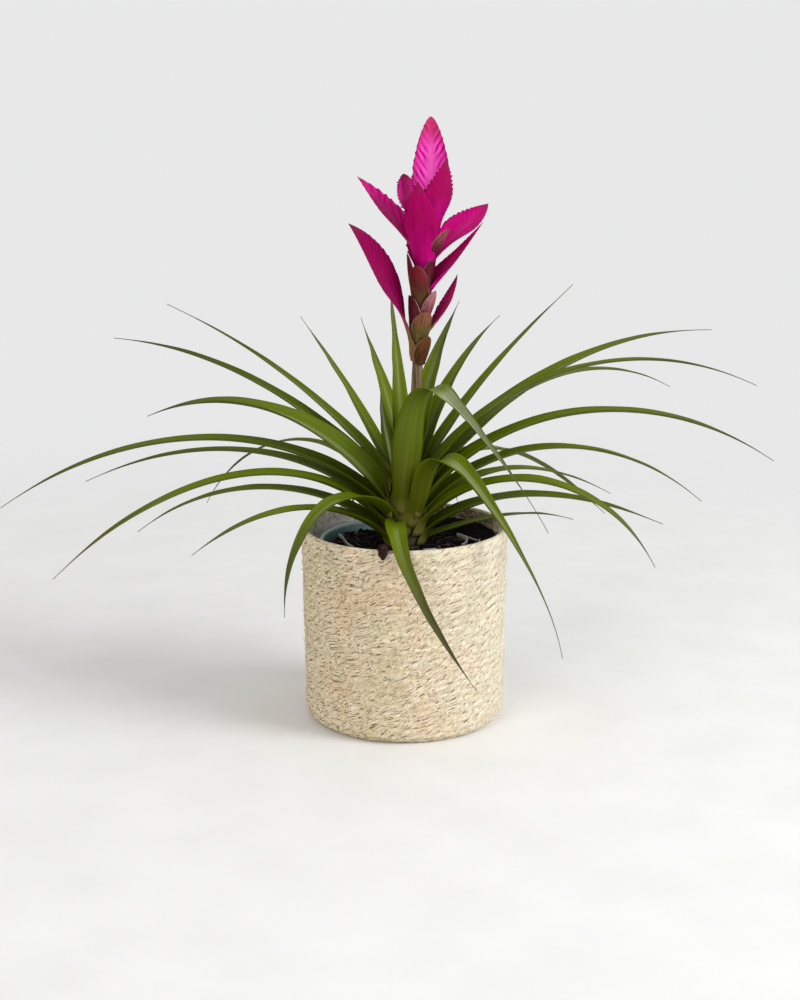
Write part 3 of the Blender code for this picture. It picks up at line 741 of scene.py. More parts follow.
def make_root_hairs():
    chance = np.random.default_rng(8)
    paths, girths = [], []
    t = np.linspace(0, 1, HAIR_STEPS)
    for number in range(ROOT_HAIRS):
        heaped = number % 3 == 0
        azimuth = radians(chance.normal(-108, 7)) if heaped else chance.uniform(0, tau)
        reach = chance.uniform(46, 54) if heaped else chance.uniform(22, 52)
        length = chance.uniform(*HAIR_LENGTHS)
        heading = chance.uniform(0, tau)
        lift = chance.uniform(0.5, 2.6 if heaped else 1.4)
        path = circle(reach, azimuth) + circle(length * t, heading + 1.4 * t)
        far = np.hypot(path[:, 0], path[:, 1])
        path *= (np.minimum(far, HAIR_REACH) / far)[:, None]
        ground = soil_height(np.minimum(far, HAIR_REACH)) + (2.8 if heaped else 1.2)
        path[:, 2] = ground + lift * np.sin(pi * t)
        paths.append(path)
        girths.append(chance.uniform(*HAIR_GIRTHS))
    points, faces = thin_tubes(paths, girths)
    finish = Finish("root_hair", Roughness=0.8)
    tint = finish.grain(finish.place(), 6, detail=2)
    finish.colour(finish.ramp(tint, (0.35, 58, 42, 40), (0.6, 112, 92, 88), (0.8, 150, 132, 124)))
    make_piece("root_hairs", points, faces, finish)


make_soil()
make_spill()
make_root_hairs()

# ---- Bark clump and film curls --------------------------------------------------------------
# A strand of wet bark has washed over the rim at the front and hangs there to a point. Two clear
# strips of the packing film stand on edge in the soil, curled by the pot's wall.

BARK_AZIMUTH = radians(-101)
BARK_ROUTE = (  # reach, height and half thickness
    (51, 122, 0.8),
    (54, 125.5, 1.2),
    (57, 128.5, 1.4),
    (61, 132.5, 1.5),
    (65, 135.6, 1.5),
    (68.5, 136.7, 1.6),
    (71.2, 135.6, 1.7),
    (72.4, 134.4, 1.7),
    (73, 132.6, 1.5),
    (73, 130.6, 1.0),
    (72.8, 128.6, 0.35),
)
BARK_RINGS = 41
BARK_ROUND = 20
BARK_FLATNESS = 2.0  # how much wider it is than thick
BARK_HAIRS = 26
BARK_HAIR_STEPS = 6
CURL_STEPS = 25
# Half a strip's section: height as a share of its half height, and how far out its face is
CURL_SECTION = ((-1, 0.15), (0.75, 0.12), (1, 0.26))


def make_bark():
    chance = np.random.default_rng(3)
    out = circle(1, BARK_AZIMUTH)
    side = np.array([-out[1], out[0], 0])
    route = np.array(BARK_ROUTE)
    fine = np.linspace(0, len(route) - 1, BARK_RINGS)
    reach, height, half = (np.interp(fine, np.arange(len(route)), route[:, c]) for c in range(3))
    middle = reach[:, None] * out + height[:, None] * np.array([0, 0, 1])
    up = np.cross(unit(np.gradient(middle, axis=0)), side)
    angle = tau * np.arange(BARK_ROUND)[None, :, None] / BARK_ROUND
    section = BARK_FLATNESS * np.cos(angle) * side + np.sin(angle) * up[:, None]
    rings = middle[:, None] + half[:, None, None] * section
    rough = drift(rings.reshape(-1, 3), 1.6, 9).reshape(rings.shape[:2])
    rings = middle[:, None] + (rings - middle[:, None]) * (1 + 0.28 * rough[..., None])
    points, faces = turned(rings, middle[0], middle[-1])
    paths = []
    for _ in range(BARK_HAIRS):
        start = chance.integers(4, 30)
        end = min(start + chance.integers(5, 12), BARK_RINGS - 1)
        stretch = np.linspace(start, end, BARK_HAIR_STEPS).astype(int)
        sway = chance.uniform(-1, 1)
        lift = chance.uniform(0.2, 1.1) * np.linspace(0, 1, BARK_HAIR_STEPS)[:, None] ** 2
        thick = half[stretch, None]
        sideways = side * (thick * 2.1 * sway)
        upwards = up[stretch] * thick * (1.02 - 0.5 * sway**2)
        paths.append(middle[stretch] + sideways + upwards + up[stretch] * lift)
    hair_points, hair_faces = thin_tubes(paths, chance.uniform(0.09, 0.2, len(paths)))
    faces += shifted(hair_faces, len(points))
    points = np.concatenate([points, hair_points])
    finish = Finish("wet_bark", Roughness=0.75, Specular_IOR_Level=0.16)
    place = finish.place()
    ridge = finish.grain(place, 1.5, detail=4, rough=0.7)
    finish.colour(finish.ramp(ridge, (0.32, 18, 9, 6), (0.55, 42, 23, 17), (0.75, 86, 58, 46)))
    finish.relief(ridge, 0.8, 0.9)
    make_piece("bark_strand", points, faces, finish, ["bark_clump"])


def make_film_curl(name, routes, node):
    """Strips of film standing on edge. A route is (x, y, height of its middle, half height)."""
    section = [*CURL_SECTION, *((lift, -skin) for lift, skin in CURL_SECTION[::-1])]
    lift, skin = np.array(section).T
    points, faces = [], []
    for route in routes:
        route = np.array(route, float)
        fit = np.polyfit(np.arange(len(route)), route, min(3, len(route) - 1))
        fine = np.linspace(0, len(route) - 1, CURL_STEPS)
        path = np.stack([np.polyval(fit[:, c], fine) for c in range(4)], axis=-1)
        across = unit(np.cross(np.gradient(path[:, :3], axis=0), (0, 0, 1)))
        rings = path[:, None, :3] + across[:, None] * skin[:, None]
        rings[..., 2] += path[:, 3:] * lift
        faces += shifted(sheet_faces(CURL_STEPS, len(CURL_SECTION)), len(points))
        points.extend(rings.reshape(-1, 3))
    milky_and_sheen = np.tile(np.where(lift == 1, 0.55, 0.16), len(routes) * CURL_STEPS)
    make_piece(name, points, faces, film, [node], {"milky_and_sheen": milky_and_sheen})


make_bark()
make_film_curl(
    "film_curl_left_strip",
    [((-45, 9, 124, 1.2), (-41.5, 2, 123, 1.4), (-39.5, -5, 122, 1.4), (-34.5, -14.5, 121.5, 1.2))],
    "film_curl_left",
)
make_film_curl(
    "film_curl_right_strip",
    [
        ((36, 12.5, 123.5, 1.2), (41.5, 7, 123, 1.3), (43, 0, 122.3, 1.3), (39, -9, 121.5, 1.2)),
        ((36.5, 13.2, 124, 0.5), (53.5, -8, 123.5, 0.5)),
    ],
    "film_curl_right",
)

# ---- Crown ----------------------------------------------------------------------------------
# The short fleshy stem at the plant's heart, which every leaf grows from. It is painted a dark olive brown,
# as painted shade under the leaves, ringed where the leaves join it, and nearly hidden by them.

CROWN_PROFILE = (
    (88, 6.0),
    (96, 9.5),
    (114, 12.0),
    (126, 13.0),
    (138, 12.4),
    (150, 10.4),
    (162, 8.0),
    (172, 6.0),
    (178, 5.2),
    (184, 4.8),
)


def crown_radius(height):
    return float(np.interp(height, *zip(*CROWN_PROFILE)))


def crown_finish():
    finish = Finish("crown_green", Roughness=0.55)
    rings = finish.grain(finish.stretched(finish.place(), (60.0, 60.0, 400.0)), detail=3)
    # Dark olive browns: painted shade under the leaves.
    finish.colour(finish.ramp(rings, (0.3, 30, 26, 12), (0.55, 62, 56, 24), (0.75, 112, 98, 52)))
    finish.relief(rings, 0.6, 0.6)
    return finish


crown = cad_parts["crown"]
crown.data.materials.clear()
crown.data.materials.append(crown_finish().material)

# ---- Leaves ---------------------------------------------------------------------------------
# A rosette of long strap leaves, channelled along the middle and drawn out to dry brown tips.
# Each grows from the crown and arches out; the longest hang over the rim or fold at a crest.

STEPS_A_SPAN = 60
LEAF_STATIONS = 72
LEAF_ACROSS = 13
LEAF_THICKNESS = 0.95
LEAF_FULLNESS = 1.08  # width measured round a leaf's hollow, as a share of its listed width
LEAF_THREAD = 0.3  # least width before the last of the taper
LEAF_CUP = 140  # the angle a leaf's section bends through at its foot, in degrees
LEAF_OPENING = 84  # how far that opens beyond the crown
LEAF_CLOSING = 45  # and how far it closes again by the tip
GUTTER = 0.4  # depth of the channel along the midrib
ROOT_GAP = 1.8  # from the crown to a leaf's midline at its root
FOOT_GAP = 0.8  # and at its foot
FOOT_DROP = 8  # how far below its root a leaf's foot starts, against the crown
FOOT_PITCH = 80
FOOT_CLEAR = 3.5  # how far beyond its root a leaf stands clear of the crown


class Blade(NamedTuple):
    """One leaf, sheath or bract as a midline in its own upright plane, in millimetres and degrees.

    It leaves its support at root_z with pitch rise and ends reach away at tip_z with pitch fall.
    It grows towards azimuth and swings through swerve over the share turn_done of its length. A
    crest is a fold on the way: reach, height, pitch and spread. twist turns its face.
    """

    name: str
    azimuth: float
    root_z: float
    rise: float
    reach: float
    tip_z: float
    fall: float
    width: float
    swerve: float = 0.0
    turn_done: float = 1.0
    crest: tuple = ()
    twist: float = 0.0


LEAVES = (
    Blade("leaf_01", 14, 124.5, 16, 121, 130, -20, 9),
    Blade("leaf_02", 208, 127, 42, 155, 132, -32, 17),
    Blade("leaf_03", 106, 126, 46, 150, 106, -50, 16),
    Blade("leaf_04", -6, 130, 38, 174, 139, -22, 19),
    Blade("leaf_05", 184, 131, 38, 180, 132, -38, 17),
    Blade("leaf_06", 76, 130, 42, 170, 108, -48, 17),
    Blade("leaf_07", 202, 135, 49, 241, 121, -42, 19),
    Blade("leaf_08", 98, 136, 44, 180, 108, -50, 19),
    Blade("leaf_09", 30, 136, 44, 172, 135, -30, 14),
    Blade("leaf_10", -17, 137, 48, 172, 118, -62, 21),
    Blade("leaf_11", 230, 139.5, 45, 119, 96, -92, 20, 0, 1, (62, 163, 0, 1.0)),
    Blade("leaf_12", -101, 137, 24, 126, 56, -42, 15.5, 36, 1.25, (52, 145.5, -4, 0.6)),
    Blade("leaf_13", 146, 141, 66, 174, 125, -60, 10, 0, 1, (90, 182, -6, 0.9)),
    Blade("leaf_14", 178, 141, 44, 217, 162, -26, 17),
    Blade("leaf_15", 8, 143, 48, 208, 143, -42, 17),
    Blade("leaf_16", -45, 143, 64, 130, 65, -78, 27, 7, 1, (38, 184.5, 0, 0.3)),
    Blade("leaf_17", 191, 147, 44, 268, 158, -34, 21),
    Blade("leaf_18", 194, 151.5, 56, 172, 217, -21, 29),
    Blade("leaf_19", 47, 144, 50, 226, 100, -36, 16),
    Blade("leaf_20", -3, 149.5, 53, 247, 181, -34, 23),
    Blade("leaf_21", 34, 152, 52, 236, 205, -28, 18),
    Blade("leaf_22", -92, 152, 85, 142, 157, -48, 28, 41, 0.45, (36, 232, -4, 0.18)),
    Blade("leaf_23", 19, 156, 50, 228, 256, -4, 27),
    Blade("leaf_24", 163, 157, 46, 212, 252, 2, 18),
    Blade("leaf_25", 5, 159, 60, 240, 226, -26, 15),
    Blade("leaf_26", 156, 165, 46, 182, 274, 19, 14),
    Blade("leaf_27", 124, 163, 46, 134, 260, 32, 11),
    Blade("leaf_28", 51, 166.5, 64, 107, 265, 24, 18),
    Blade("leaf_29", 37, 163, 54, 149, 286, 33, 13),
    Blade("leaf_30", 65, 171.5, 71, 91, 275, 37, 22),
    Blade("leaf_31", 113, 176, 72, 78, 265, 46, 15),
    Blade("leaf_32", 186, 171.5, 84, 16, 226, 90, 12, 0, 1, (), 72),
    Blade("leaf_33", 104, 181.5, 85, 46, 303, 68, 15),
)


def arc_pull(turn):
    """Pull at each end, per unit of chord, that bends a span of this turn like a circle's arc."""
    half = radians(max(abs(turn), 1.0)) / 2
    return 2 * tan(half / 2) / sin(half)


def heading(pitch):
    return np.array([cos(radians(pitch)), sin(radians(pitch))])


def midline(blade, reach, stations, foot=()):
    """Evenly spaced (reach, height) points from root to tip, the pitch at each, the length
    and the share of it that lies below the crest. A foot is a point that it climbs from."""
    stops = [(np.array([reach, blade.root_z]), blade.rise)]
    slack = [1.0]
    if foot:
        clear = stops[0][0] + FOOT_CLEAR * heading(blade.rise)
        stops = [(np.array(foot), FOOT_PITCH), (clear, blade.rise)]
        slack = [1.0, 1.0]
    if blade.crest:
        stops.append((np.array(blade.crest[:2], float), blade.crest[2]))
        slack.append(blade.crest[3])
    stops.append((np.array([blade.reach, blade.tip_z], float), blade.fall))
    fine = [stops[0][0][None]]
    t = (np.arange(1, STEPS_A_SPAN + 1) / STEPS_A_SPAN)[:, None]
    for loose, (start, rise), (end, fall) in zip(slack, stops, stops[1:]):
        chord = np.linalg.norm(end - start) * arc_pull(rise - fall)
        fine.append(
            start * (2 * t**3 - 3 * t**2 + 1)
            + heading(rise) * chord * loose * (t**3 - 2 * t**2 + t)
            + end * (3 * t**2 - 2 * t**3)
            + heading(fall) * chord * (t**3 - t**2)
        )
    fine = np.concatenate(fine)
    lengths = np.concatenate([[0], np.cumsum(np.linalg.norm(np.diff(fine, axis=0), axis=1))])
    wanted = np.linspace(0, lengths[-1], stations)
    points = np.stack([np.interp(wanted, lengths, fine[:, c]) for c in range(2)], axis=-1)
    slope = np.gradient(points, axis=0)
    below = lengths[STEPS_A_SPAN * (len(stops) - 2)] / lengths[-1] if blade.crest else 1.0
    return points, np.arctan2(slope[:, 1], slope[:, 0]), lengths[-1], below


def outward_faces(points, faces):
    """The same faces, turned so that they all look out of the body."""
    corner = [points[[face[c] for face in faces]] for c in range(4)]
    volume = np.einsum("ij,ij->i", corner[0], np.cross(corner[1], corner[2])).sum()
    volume += np.einsum("ij,ij->i", corner[0], np.cross(corner[2], corner[3])).sum()
    return faces if volume > 0 else [face[::-1] for face in faces]


def blade_shell(blade, centre, reach, across, width, cup, skin, lift=0.0, teeth=0.0, roll=0.0, foot=()):
    """Points, faces and marks of a thin cupped blade, root to tip.

    It grows from an axis through centre, reach away from it, or climbs there from its foot.
    width, cup and skin are arrays down its length: its width, the angle its section bends
    through, and its thickness. lift moves its skin out from the hollow side, and teeth
    draws each edge out or in; both are arrays over the length and the width. roll turns
    the face about the midline, in degrees, and is an array down the length too.
    """
    stations = len(width)
    points, pitch, _, _ = midline(blade, reach, stations, foot)
    share = np.linspace(0, 1, stations)
    azimuth = np.radians(blade.azimuth + blade.swerve * smoothstep(share / blade.turn_done))
    out = circle(1, azimuth)
    up = np.array([0, 0, 1.0])
    side = np.cross(up, out)
    forward = out * np.cos(pitch)[:, None] + up * np.sin(pitch)[:, None]
    upper = np.cross(forward, side)
    twist = np.radians(blade.twist * smoothstep(2 * share) + roll)[:, None]
    side, upper = (
        side * np.cos(twist) + upper * np.sin(twist),
        upper * np.cos(twist) - side * np.sin(twist),
    )
    middle = np.array(centre) + out * points[:, :1] + up * points[:, 1:]
    place = np.linspace(-1, 1, across)
    bend = np.radians(cup)[:, None]
    angle = bend / 2 * place * (1 + teeth)
    radius = (width[:, None] / bend)[..., None]
    spoke = side[:, None] * np.sin(angle)[..., None] - upper[:, None] * np.cos(angle)[..., None]
    hub = (middle + upper * radius[:, 0])[:, None]
    half_skin = skin[:, None] * (1 - 0.68 * place**2) / 2
    over = hub + spoke * (radius + (lift - half_skin)[..., None])
    under = hub + spoke * (radius + (lift + half_skin)[..., None])
    points = np.concatenate([over, under[:, ::-1]], axis=1).reshape(-1, 3)
    both = np.concatenate([place, place[::-1]])
    marks = {
        "along": np.repeat(share, 2 * across),
        "across": np.tile(both, stations),
        "hollow": np.tile(np.repeat([1.0, 0.0], across), stations),
    }
    return points, outward_faces(points, sheet_faces(stations, across)), marks


def leaf_finish():
    finish = Finish("leaf_green", Roughness=0.45, Specular_IOR_Level=0.08)
    along, across = finish.mark("along"), finish.mark("across")
    tone, hollow = finish.mark("tone"), finish.mark("hollow")
    off_middle = finish.math("ABSOLUTE", across)
    seed = finish.times(tone, 23)
    veins = finish.fibres(finish.times(across, 9), finish.times(along, 2.2), seed, detail=3, rough=0.6)
    fine_veins = finish.fibres(finish.times(across, 34), finish.times(along, 5), seed, detail=1)
    face = finish.ramp(
        along,
        (0.0, 124, 114, 62),
        (0.04, 98, 102, 26),
        (0.12, 83, 96, 0),
        (0.3, 105, 121, 2),
        (0.6, 114, 126, 22),
        (0.84, 102, 108, 46),
        (0.93, 92, 88, 62),
        (1.0, 124, 112, 102),
    )
    back = finish.ramp(
        along,
        (0.0, 130, 120, 68),
        (0.05, 90, 95, 16),
        (0.3, 95, 109, 6),
        (0.84, 100, 106, 48),
        (0.93, 94, 88, 62),
        (1.0, 124, 112, 102),
    )
    body = finish.mix(hollow, back, face)
    streaks = finish.ramp(veins, (0.3, 204, 208, 190), (0.5, 234, 236, 220), (0.7, 255, 255, 240))
    body = finish.tint(0.8, body, streaks)
    lines = finish.ramp(fine_veins, (0.35, 222, 226, 220), (0.6, 255, 255, 255))
    body = finish.tint(0.6, body, lines)
    bright = finish.ramp(tone, (0.0, 206, 214, 206), (0.5, 240, 242, 232), (1.0, 255, 255, 236))
    body = finish.tint(1.0, body, bright)
    # Pale grey along the middle of the upper side: partly the leaf's bloom, partly painted sheen.
    off_stripe = finish.minus(off_middle, finish.mark("bloom_and_sheen_spread"))
    bloom_and_sheen = finish.times(finish.span(off_stripe, 0.34, 0.02), finish.span(along, 0.05, 0.3))
    bloom_and_sheen = finish.times(bloom_and_sheen, finish.span(veins, 0.3, 0.7, 0.3, 1.0))
    bloom_and_sheen = finish.times(bloom_and_sheen, finish.mark("bloom_and_sheen"))
    body = finish.mix(bloom_and_sheen, body, paint(158, 166, 134))
    # A thin paler edge: partly the leaf's yellow-green margin, partly painted highlight.
    edge = finish.times(finish.span(off_middle, 0.92, 1.0), 0.1)
    body = finish.mix(edge, body, paint(118, 130, 50))
    # The outer part painted dark brown: partly dried leaf, partly painted shade.
    dry_and_shade = finish.times(finish.mark("dry"), finish.span(along, 0.3, 0.75))
    body = finish.mix(dry_and_shade, body, paint(70, 66, 42))
    finish.colour(body)
    finish.relief(finish.plus(fine_veins, veins), 0.22, 0.6)
    return finish


green = leaf_finish()

# How fast the leaves named narrow from their broadest place to the tip, as a power
TAPERS = {"leaf_11": 1.0, "leaf_12": 1.0, "leaf_16": 2.2, "leaf_18": 0.75, "leaf_22": 2.0, "leaf_23": 1.1}
TAPERS |= {"leaf_26": 1.25, "leaf_27": 1.1, "leaf_28": 1.15, "leaf_29": 1.2, "leaf_30": 1.1, "leaf_31": 1.2}
TAPERS |= {"leaf_33": 1.5}
USUAL_TAPER = 0.85
# How much pale grey is painted along the middle of the upper side: partly the leaf's grey bloom, partly
# painted sheen
BLOOMS_AND_SHEEN = {"leaf_05": 0.4, "leaf_11": 0.45, "leaf_12": 0.3, "leaf_16": 0.6, "leaf_22": 0.95, "leaf_32": 0.85}
USUAL_BLOOM_AND_SHEEN = 0.34
# How far that bloom and painted sheen runs on from the middle stripe towards the edges
BLOOM_AND_SHEEN_SPREAD = {"leaf_16": 0.2, "leaf_22": 0.62}
# How far the outer part of a leaf is painted dark brown: dried leaf, and on leaf_12 mostly painted shade
# where it hangs away from the light
DRY_AND_SHADED = {"leaf_01": 0.4, "leaf_12": 0.85, "leaf_13": 0.5, "leaf_22": 0.2}
USUAL_DRY_AND_SHADE = 0.08
# How far a leaf at the side of the crown turns its lower half to the front, in degrees
ROLLS = {"leaf_14": 20, "leaf_17": 20, "leaf_18": 38}
USUAL_ROLL = 15
# The share of its length over which it turns back
ROLL_ENDS = {"leaf_18": 0.85}
USUAL_ROLL_END = 0.45
# How far a folded leaf's section bends at its crest and just beyond it, and how far it rolls there
FOLDS = {"leaf_11": (70, 120, 0), "leaf_12": (36, 115, 0)}
FOLDS |= {"leaf_16": (60, 165, 6), "leaf_22": (56, 165, 24)}


def unevenness(share, row, column, seed):
    """Smooth random values down a blade, from -1 to 1. Each row and column has its own."""
    where = np.stack(np.broadcast_arrays(9 * share, row, column), axis=-1)
    return drift(where, 1, seed)[:, None]


def leaf_width(share, power):
    """Broad and clasping at the crown, then a long taper to a thread."""
    broadest = 0.2
    grown = 0.86 + 0.14 * smoothstep(share / broadest)
    taper = np.clip((1 - share) / (1 - broadest), 0, 1) ** power
    thread = 0.42 + 0.58 * smoothstep((1 - share) / 0.22)
    return np.where(share < broadest, grown, taper) * thread


def make_leaf(leaf, tone):
    share = np.linspace(0, 1, LEAF_STATIONS)
    place = np.linspace(-1, 1, LEAF_ACROSS)
    reach = crown_radius(leaf.root_z) + ROOT_GAP
    low = leaf.root_z - FOOT_DROP
    foot = (crown_radius(low) + FOOT_GAP, low)

    width = LEAF_FULLNESS * leaf.width * leaf_width(share, TAPERS.get(leaf.name, USUAL_TAPER))
    width = np.maximum(width, LEAF_THREAD)
    width = width * (0.74 + 0.26 * smoothstep(share / 0.45) + 0.7 * (1 - smoothstep(share / 0.07)))
    bloom_and_sheen = np.full(LEAF_STATIONS, BLOOMS_AND_SHEEN.get(leaf.name, USUAL_BLOOM_AND_SHEEN))
    if leaf.name in FOLDS:
        at_crest, beyond, turned_by = FOLDS[leaf.name]
        crest = midline(leaf, reach, LEAF_STATIONS, foot)[3]
        cup = LEAF_CUP + (at_crest - LEAF_CUP) * smoothstep(share / crest)
        cup = cup + (beyond - at_crest) * smoothstep((share - crest) / 0.1)
        roll = turned_by * smoothstep((share - crest + 0.05) / 0.12)
        # On a folded leaf the bloom and painted sheen lie mostly just past the crest.
        bloom_and_sheen = bloom_and_sheen * (0.05 + 0.95 * smoothstep((share - crest) / 0.04))
        bloom_and_sheen = bloom_and_sheen * (1 - 0.65 * smoothstep((share - crest - 0.16) / 0.2))
    else:
        cup = LEAF_CUP - LEAF_OPENING * smoothstep(share / 0.35) + LEAF_CLOSING * share
        turned_back = smoothstep(share / ROLL_ENDS.get(leaf.name, USUAL_ROLL_END))
        roll = ROLLS.get(leaf.name, USUAL_ROLL) * cos(radians(leaf.azimuth)) * (1 - turned_back)

    skin = LEAF_THICKNESS * (1 - 0.5 * share)
    row = 40 * tone
    ripple = unevenness(share, row, 0, 1) * place + unevenness(share, row, 0, 2) * place**2
    gutter = GUTTER * np.exp(-((place / 0.2) ** 2))[None] * (1 - share[:, None])
    lift = gutter - 0.5 * ripple * smoothstep(share * 4)[:, None] * smoothstep((1 - share) * 5)[:, None]
    points, faces, marks = blade_shell(
        leaf, (0, 0, 0), reach, LEAF_ACROSS, width, cup, skin, lift, roll=roll, foot=foot
    )
    marks["tone"] = tone
    marks["bloom_and_sheen"] = np.repeat(bloom_and_sheen, 2 * LEAF_ACROSS)
    marks["bloom_and_sheen_spread"] = BLOOM_AND_SHEEN_SPREAD.get(leaf.name, 0.0)
    marks["dry"] = DRY_AND_SHADED.get(leaf.name, USUAL_DRY_AND_SHADE)
    make_piece(leaf.name + "_blade", points, faces, green, [leaf.name], marks)


leaf_chance = np.random.default_rng(21)
for leaf in LEAVES:
    make_leaf(leaf, leaf_chance.uniform(0.1, 0.9))

# ---- Flower stalk ---------------------------------------------------------------------------
# A stiff upright stalk, grey-brown to purple with paler streaks, bowed a little low down. It
# stands on the crown and carries the sheaths and bracts.

STALK_FOOT = 184.4
STALK_TOP = 352
STALK_BOW = 8
STALK_BOW_SHARE = 0.27
STALK_LEAN = 10.5
STALK_FOOT_RADIUS = 4.4
STALK_TOP_RADIUS = 2.2
STALK_RINGS = 96
STALK_ROUND = 24
STALK_JOINTS = 26  # the faint swellings on it are this far apart


def stalk_centre(height):
    share = (height - STALK_FOOT) / (STALK_TOP - STALK_FOOT)
    bow = STALK_BOW * smoothstep(share / STALK_BOW_SHARE)
    upper_share = np.maximum(0.0, (share - STALK_BOW_SHARE) / (1 - STALK_BOW_SHARE))
    return bow + STALK_LEAN * upper_share**1.3


def stalk_radius(height):
    share = (height - STALK_FOOT) / (STALK_TOP - STALK_FOOT)
    return STALK_FOOT_RADIUS + (STALK_TOP_RADIUS - STALK_FOOT_RADIUS) * share


def make_stalk():
    height = np.linspace(STALK_FOOT, STALK_TOP, STALK_RINGS)[:, None]
    angle = tau * np.arange(STALK_ROUND) / STALK_ROUND
    rib = 1 + 0.035 * np.sin(5 * angle + height / 30) + 0.03 * np.sin(8 * angle)
    from_joint = (height - STALK_FOOT) % STALK_JOINTS - STALK_JOINTS / 2
    joint = 0.25 * np.exp(-(from_joint**2) / 4)
    scaly = 0.9 * smoothstep((height - 243) / 10) * smoothstep((350 - height) / 15)
    rings = circle(stalk_radius(height) * rib + joint - 0.2 + scaly, angle, height)
    rings[..., 0] += stalk_centre(height)
    top = (stalk_centre(STALK_TOP), 0, STALK_TOP)
    points, faces = turned(rings, (0, 0, STALK_FOOT), top)
    finish = Finish("stalk_brown", Roughness=0.5, Specular_IOR_Level=0.18)
    streak = finish.grain(finish.stretched(finish.place(), (700.0, 700.0, 45.0)), detail=3, rough=0.6)
    browns = ((0.3, 64, 44, 36), (0.48, 98, 80, 58), (0.62, 124, 110, 80), (0.78, 158, 146, 116))
    finish.colour(finish.ramp(streak, *browns))
    finish.relief(streak, 0.4, 0.6)
    make_piece("flower_stalk_stem", points, faces, finish, ["flower_stalk"])


make_stalk()

# ---- Sheaths --------------------------------------------------------------------------------
# Short scaly leaves that wrap the stalk below the bracts. They are papery, olive to red-brown,
# with a darker tip and a pale dry edge.

SHEATH_STATIONS = 30
SHEATH_ACROSS = 17
SHEATH_GAP = 1.4  # from the stalk to a sheath's midline at its root
SHEATH_ROOT = 0.7  # width at the root, as a share of the greatest
SHEATH_BROAD = 0.35  # how far up it is broadest
SHEATH_THREAD = 0.25  # least width at the tip
SHEATH_CUP = 175  # the angle its section bends through at its root, in degrees
SHEATH_OPENING = 85  # how far that opens by the tip
SHEATHS = (
    Blade("sheath_01", -44, 244.5, 76, 10, 264, 88, 18),
    Blade("sheath_02", 92, 255, 76, 9.5, 286, 88, 16),
    Blade("sheath_03", -62, 258, 78, 9.5, 281, 92, 19),
    Blade("sheath_04", 205, 268, 76, 8, 291, 90, 17),
    Blade("sheath_05", -108, 278, 80, 10.5, 311.5, 86, 17),
    Blade("sheath_06", -28, 273, 68, 11, 294, 88, 17),
    Blade("sheath_07", 184, 284, 70, 10, 318, 90, 17),
    Blade("sheath_08", -30, 311.5, 60, 17.5, 335, 60, 15),
)
# The colour of each at its foot and at its top
SHEATH_COLOURS = (
    ((80, 48, 18), (98, 58, 24)),
    ((90, 72, 38), (108, 56, 46)),
    ((98, 84, 42), (126, 80, 58)),
    ((96, 40, 44), (88, 16, 34)),
    ((84, 60, 30), (118, 24, 40)),
    ((128, 66, 78), (164, 108, 114)),
    ((96, 26, 38), (104, 14, 44)),
    ((90, 24, 38), (146, 74, 80)),
)
# Shorter scales seen between those, all dark
INNER_SCALES = (
    Blade("inner_scale_01", -42, 286, 78, 8.8, 314, 86, 17),
    Blade("inner_scale_02", -160, 286, 82, 8, 309, 90, 14),
    Blade("inner_scale_03", -12, 290, 74, 10, 322, 76, 15),
    Blade("inner_scale_04", 10, 262, 78, 8.5, 292, 84, 15),
    Blade("inner_scale_05", -160, 262, 80, 7.5, 286, 90, 14),
)
INNER_TONE = 3 / 7  # they take the fourth sheath's colours


def sheath_finish():
    finish = Finish("sheath_scale", Roughness=0.6, Specular_IOR_Level=0.12)
    along, across = finish.mark("along"), finish.mark("across")
    tone = finish.mark("tone")
    off_middle = finish.math("ABSOLUTE", across)
    seed = finish.times(tone, 31)
    streak = finish.fibres(finish.times(across, 5), finish.times(along, 3), seed, detail=4, rough=0.65)
    places = np.linspace(0, 1, len(SHEATH_COLOURS)).tolist()
    foot, top = (
        finish.ramp(tone, *[(place, *shade) for place, shade in zip(places, shades)])
        for shades in zip(*SHEATH_COLOURS)
    )
    body = finish.mix(finish.span(along, 0.3, 0.85), foot, top)
    body = finish.tint(0.9, body, finish.ramp(streak, (0.3, 150, 140, 136), (0.62, 255, 252, 248)))
    dry = finish.times(finish.span(off_middle, 0.86, 0.98), finish.span(streak, 0.3, 0.6, 0.04, 0.32))
    body = finish.mix(dry, body, paint(206, 158, 150))
    dark = finish.span(along, 0.93, 1.0)
    body = finish.mix(finish.times(dark, 0.6), body, paint(70, 30, 30))
    finish.colour(body)
    finish.relief(streak, 0.35, 0.7)
    return finish


scale = sheath_finish()


def make_sheath(sheath, tone):
    share = np.linspace(0, 1, SHEATH_STATIONS)
    centre = (stalk_centre(sheath.root_z), 0, 0)
    reach = stalk_radius(sheath.root_z) + SHEATH_GAP
    grown = SHEATH_ROOT + 0.3 * smoothstep(share / SHEATH_BROAD)
    taper = (1 - np.clip((share - SHEATH_BROAD) / 0.65, 0, 1) ** 3) ** 0.7
    width = np.maximum(sheath.width * grown * taper, SHEATH_THREAD)
    cup, skin = SHEATH_CUP - SHEATH_OPENING * share, 0.7 - 0.3 * share
    points, faces, marks = blade_shell(sheath, centre, reach, SHEATH_ACROSS, width, cup, skin)
    marks["tone"] = tone
    stands_for = [] if sheath in INNER_SCALES else [sheath.name]
    make_piece(sheath.name + "_scale", points, faces, scale, stands_for, marks)


for number, sheath in enumerate(SHEATHS):
    make_sheath(sheath, number / (len(SHEATHS) - 1))
for sheath in INNER_SCALES:
    make_sheath(sheath, INNER_TONE)

# ---- Bracts ---------------------------------------------------------------------------------
# The magenta bracts that make the flower head. Each is pleated in chevrons from the midrib up
# and out to its edges, and every pleat ends in a small tooth on the edge.

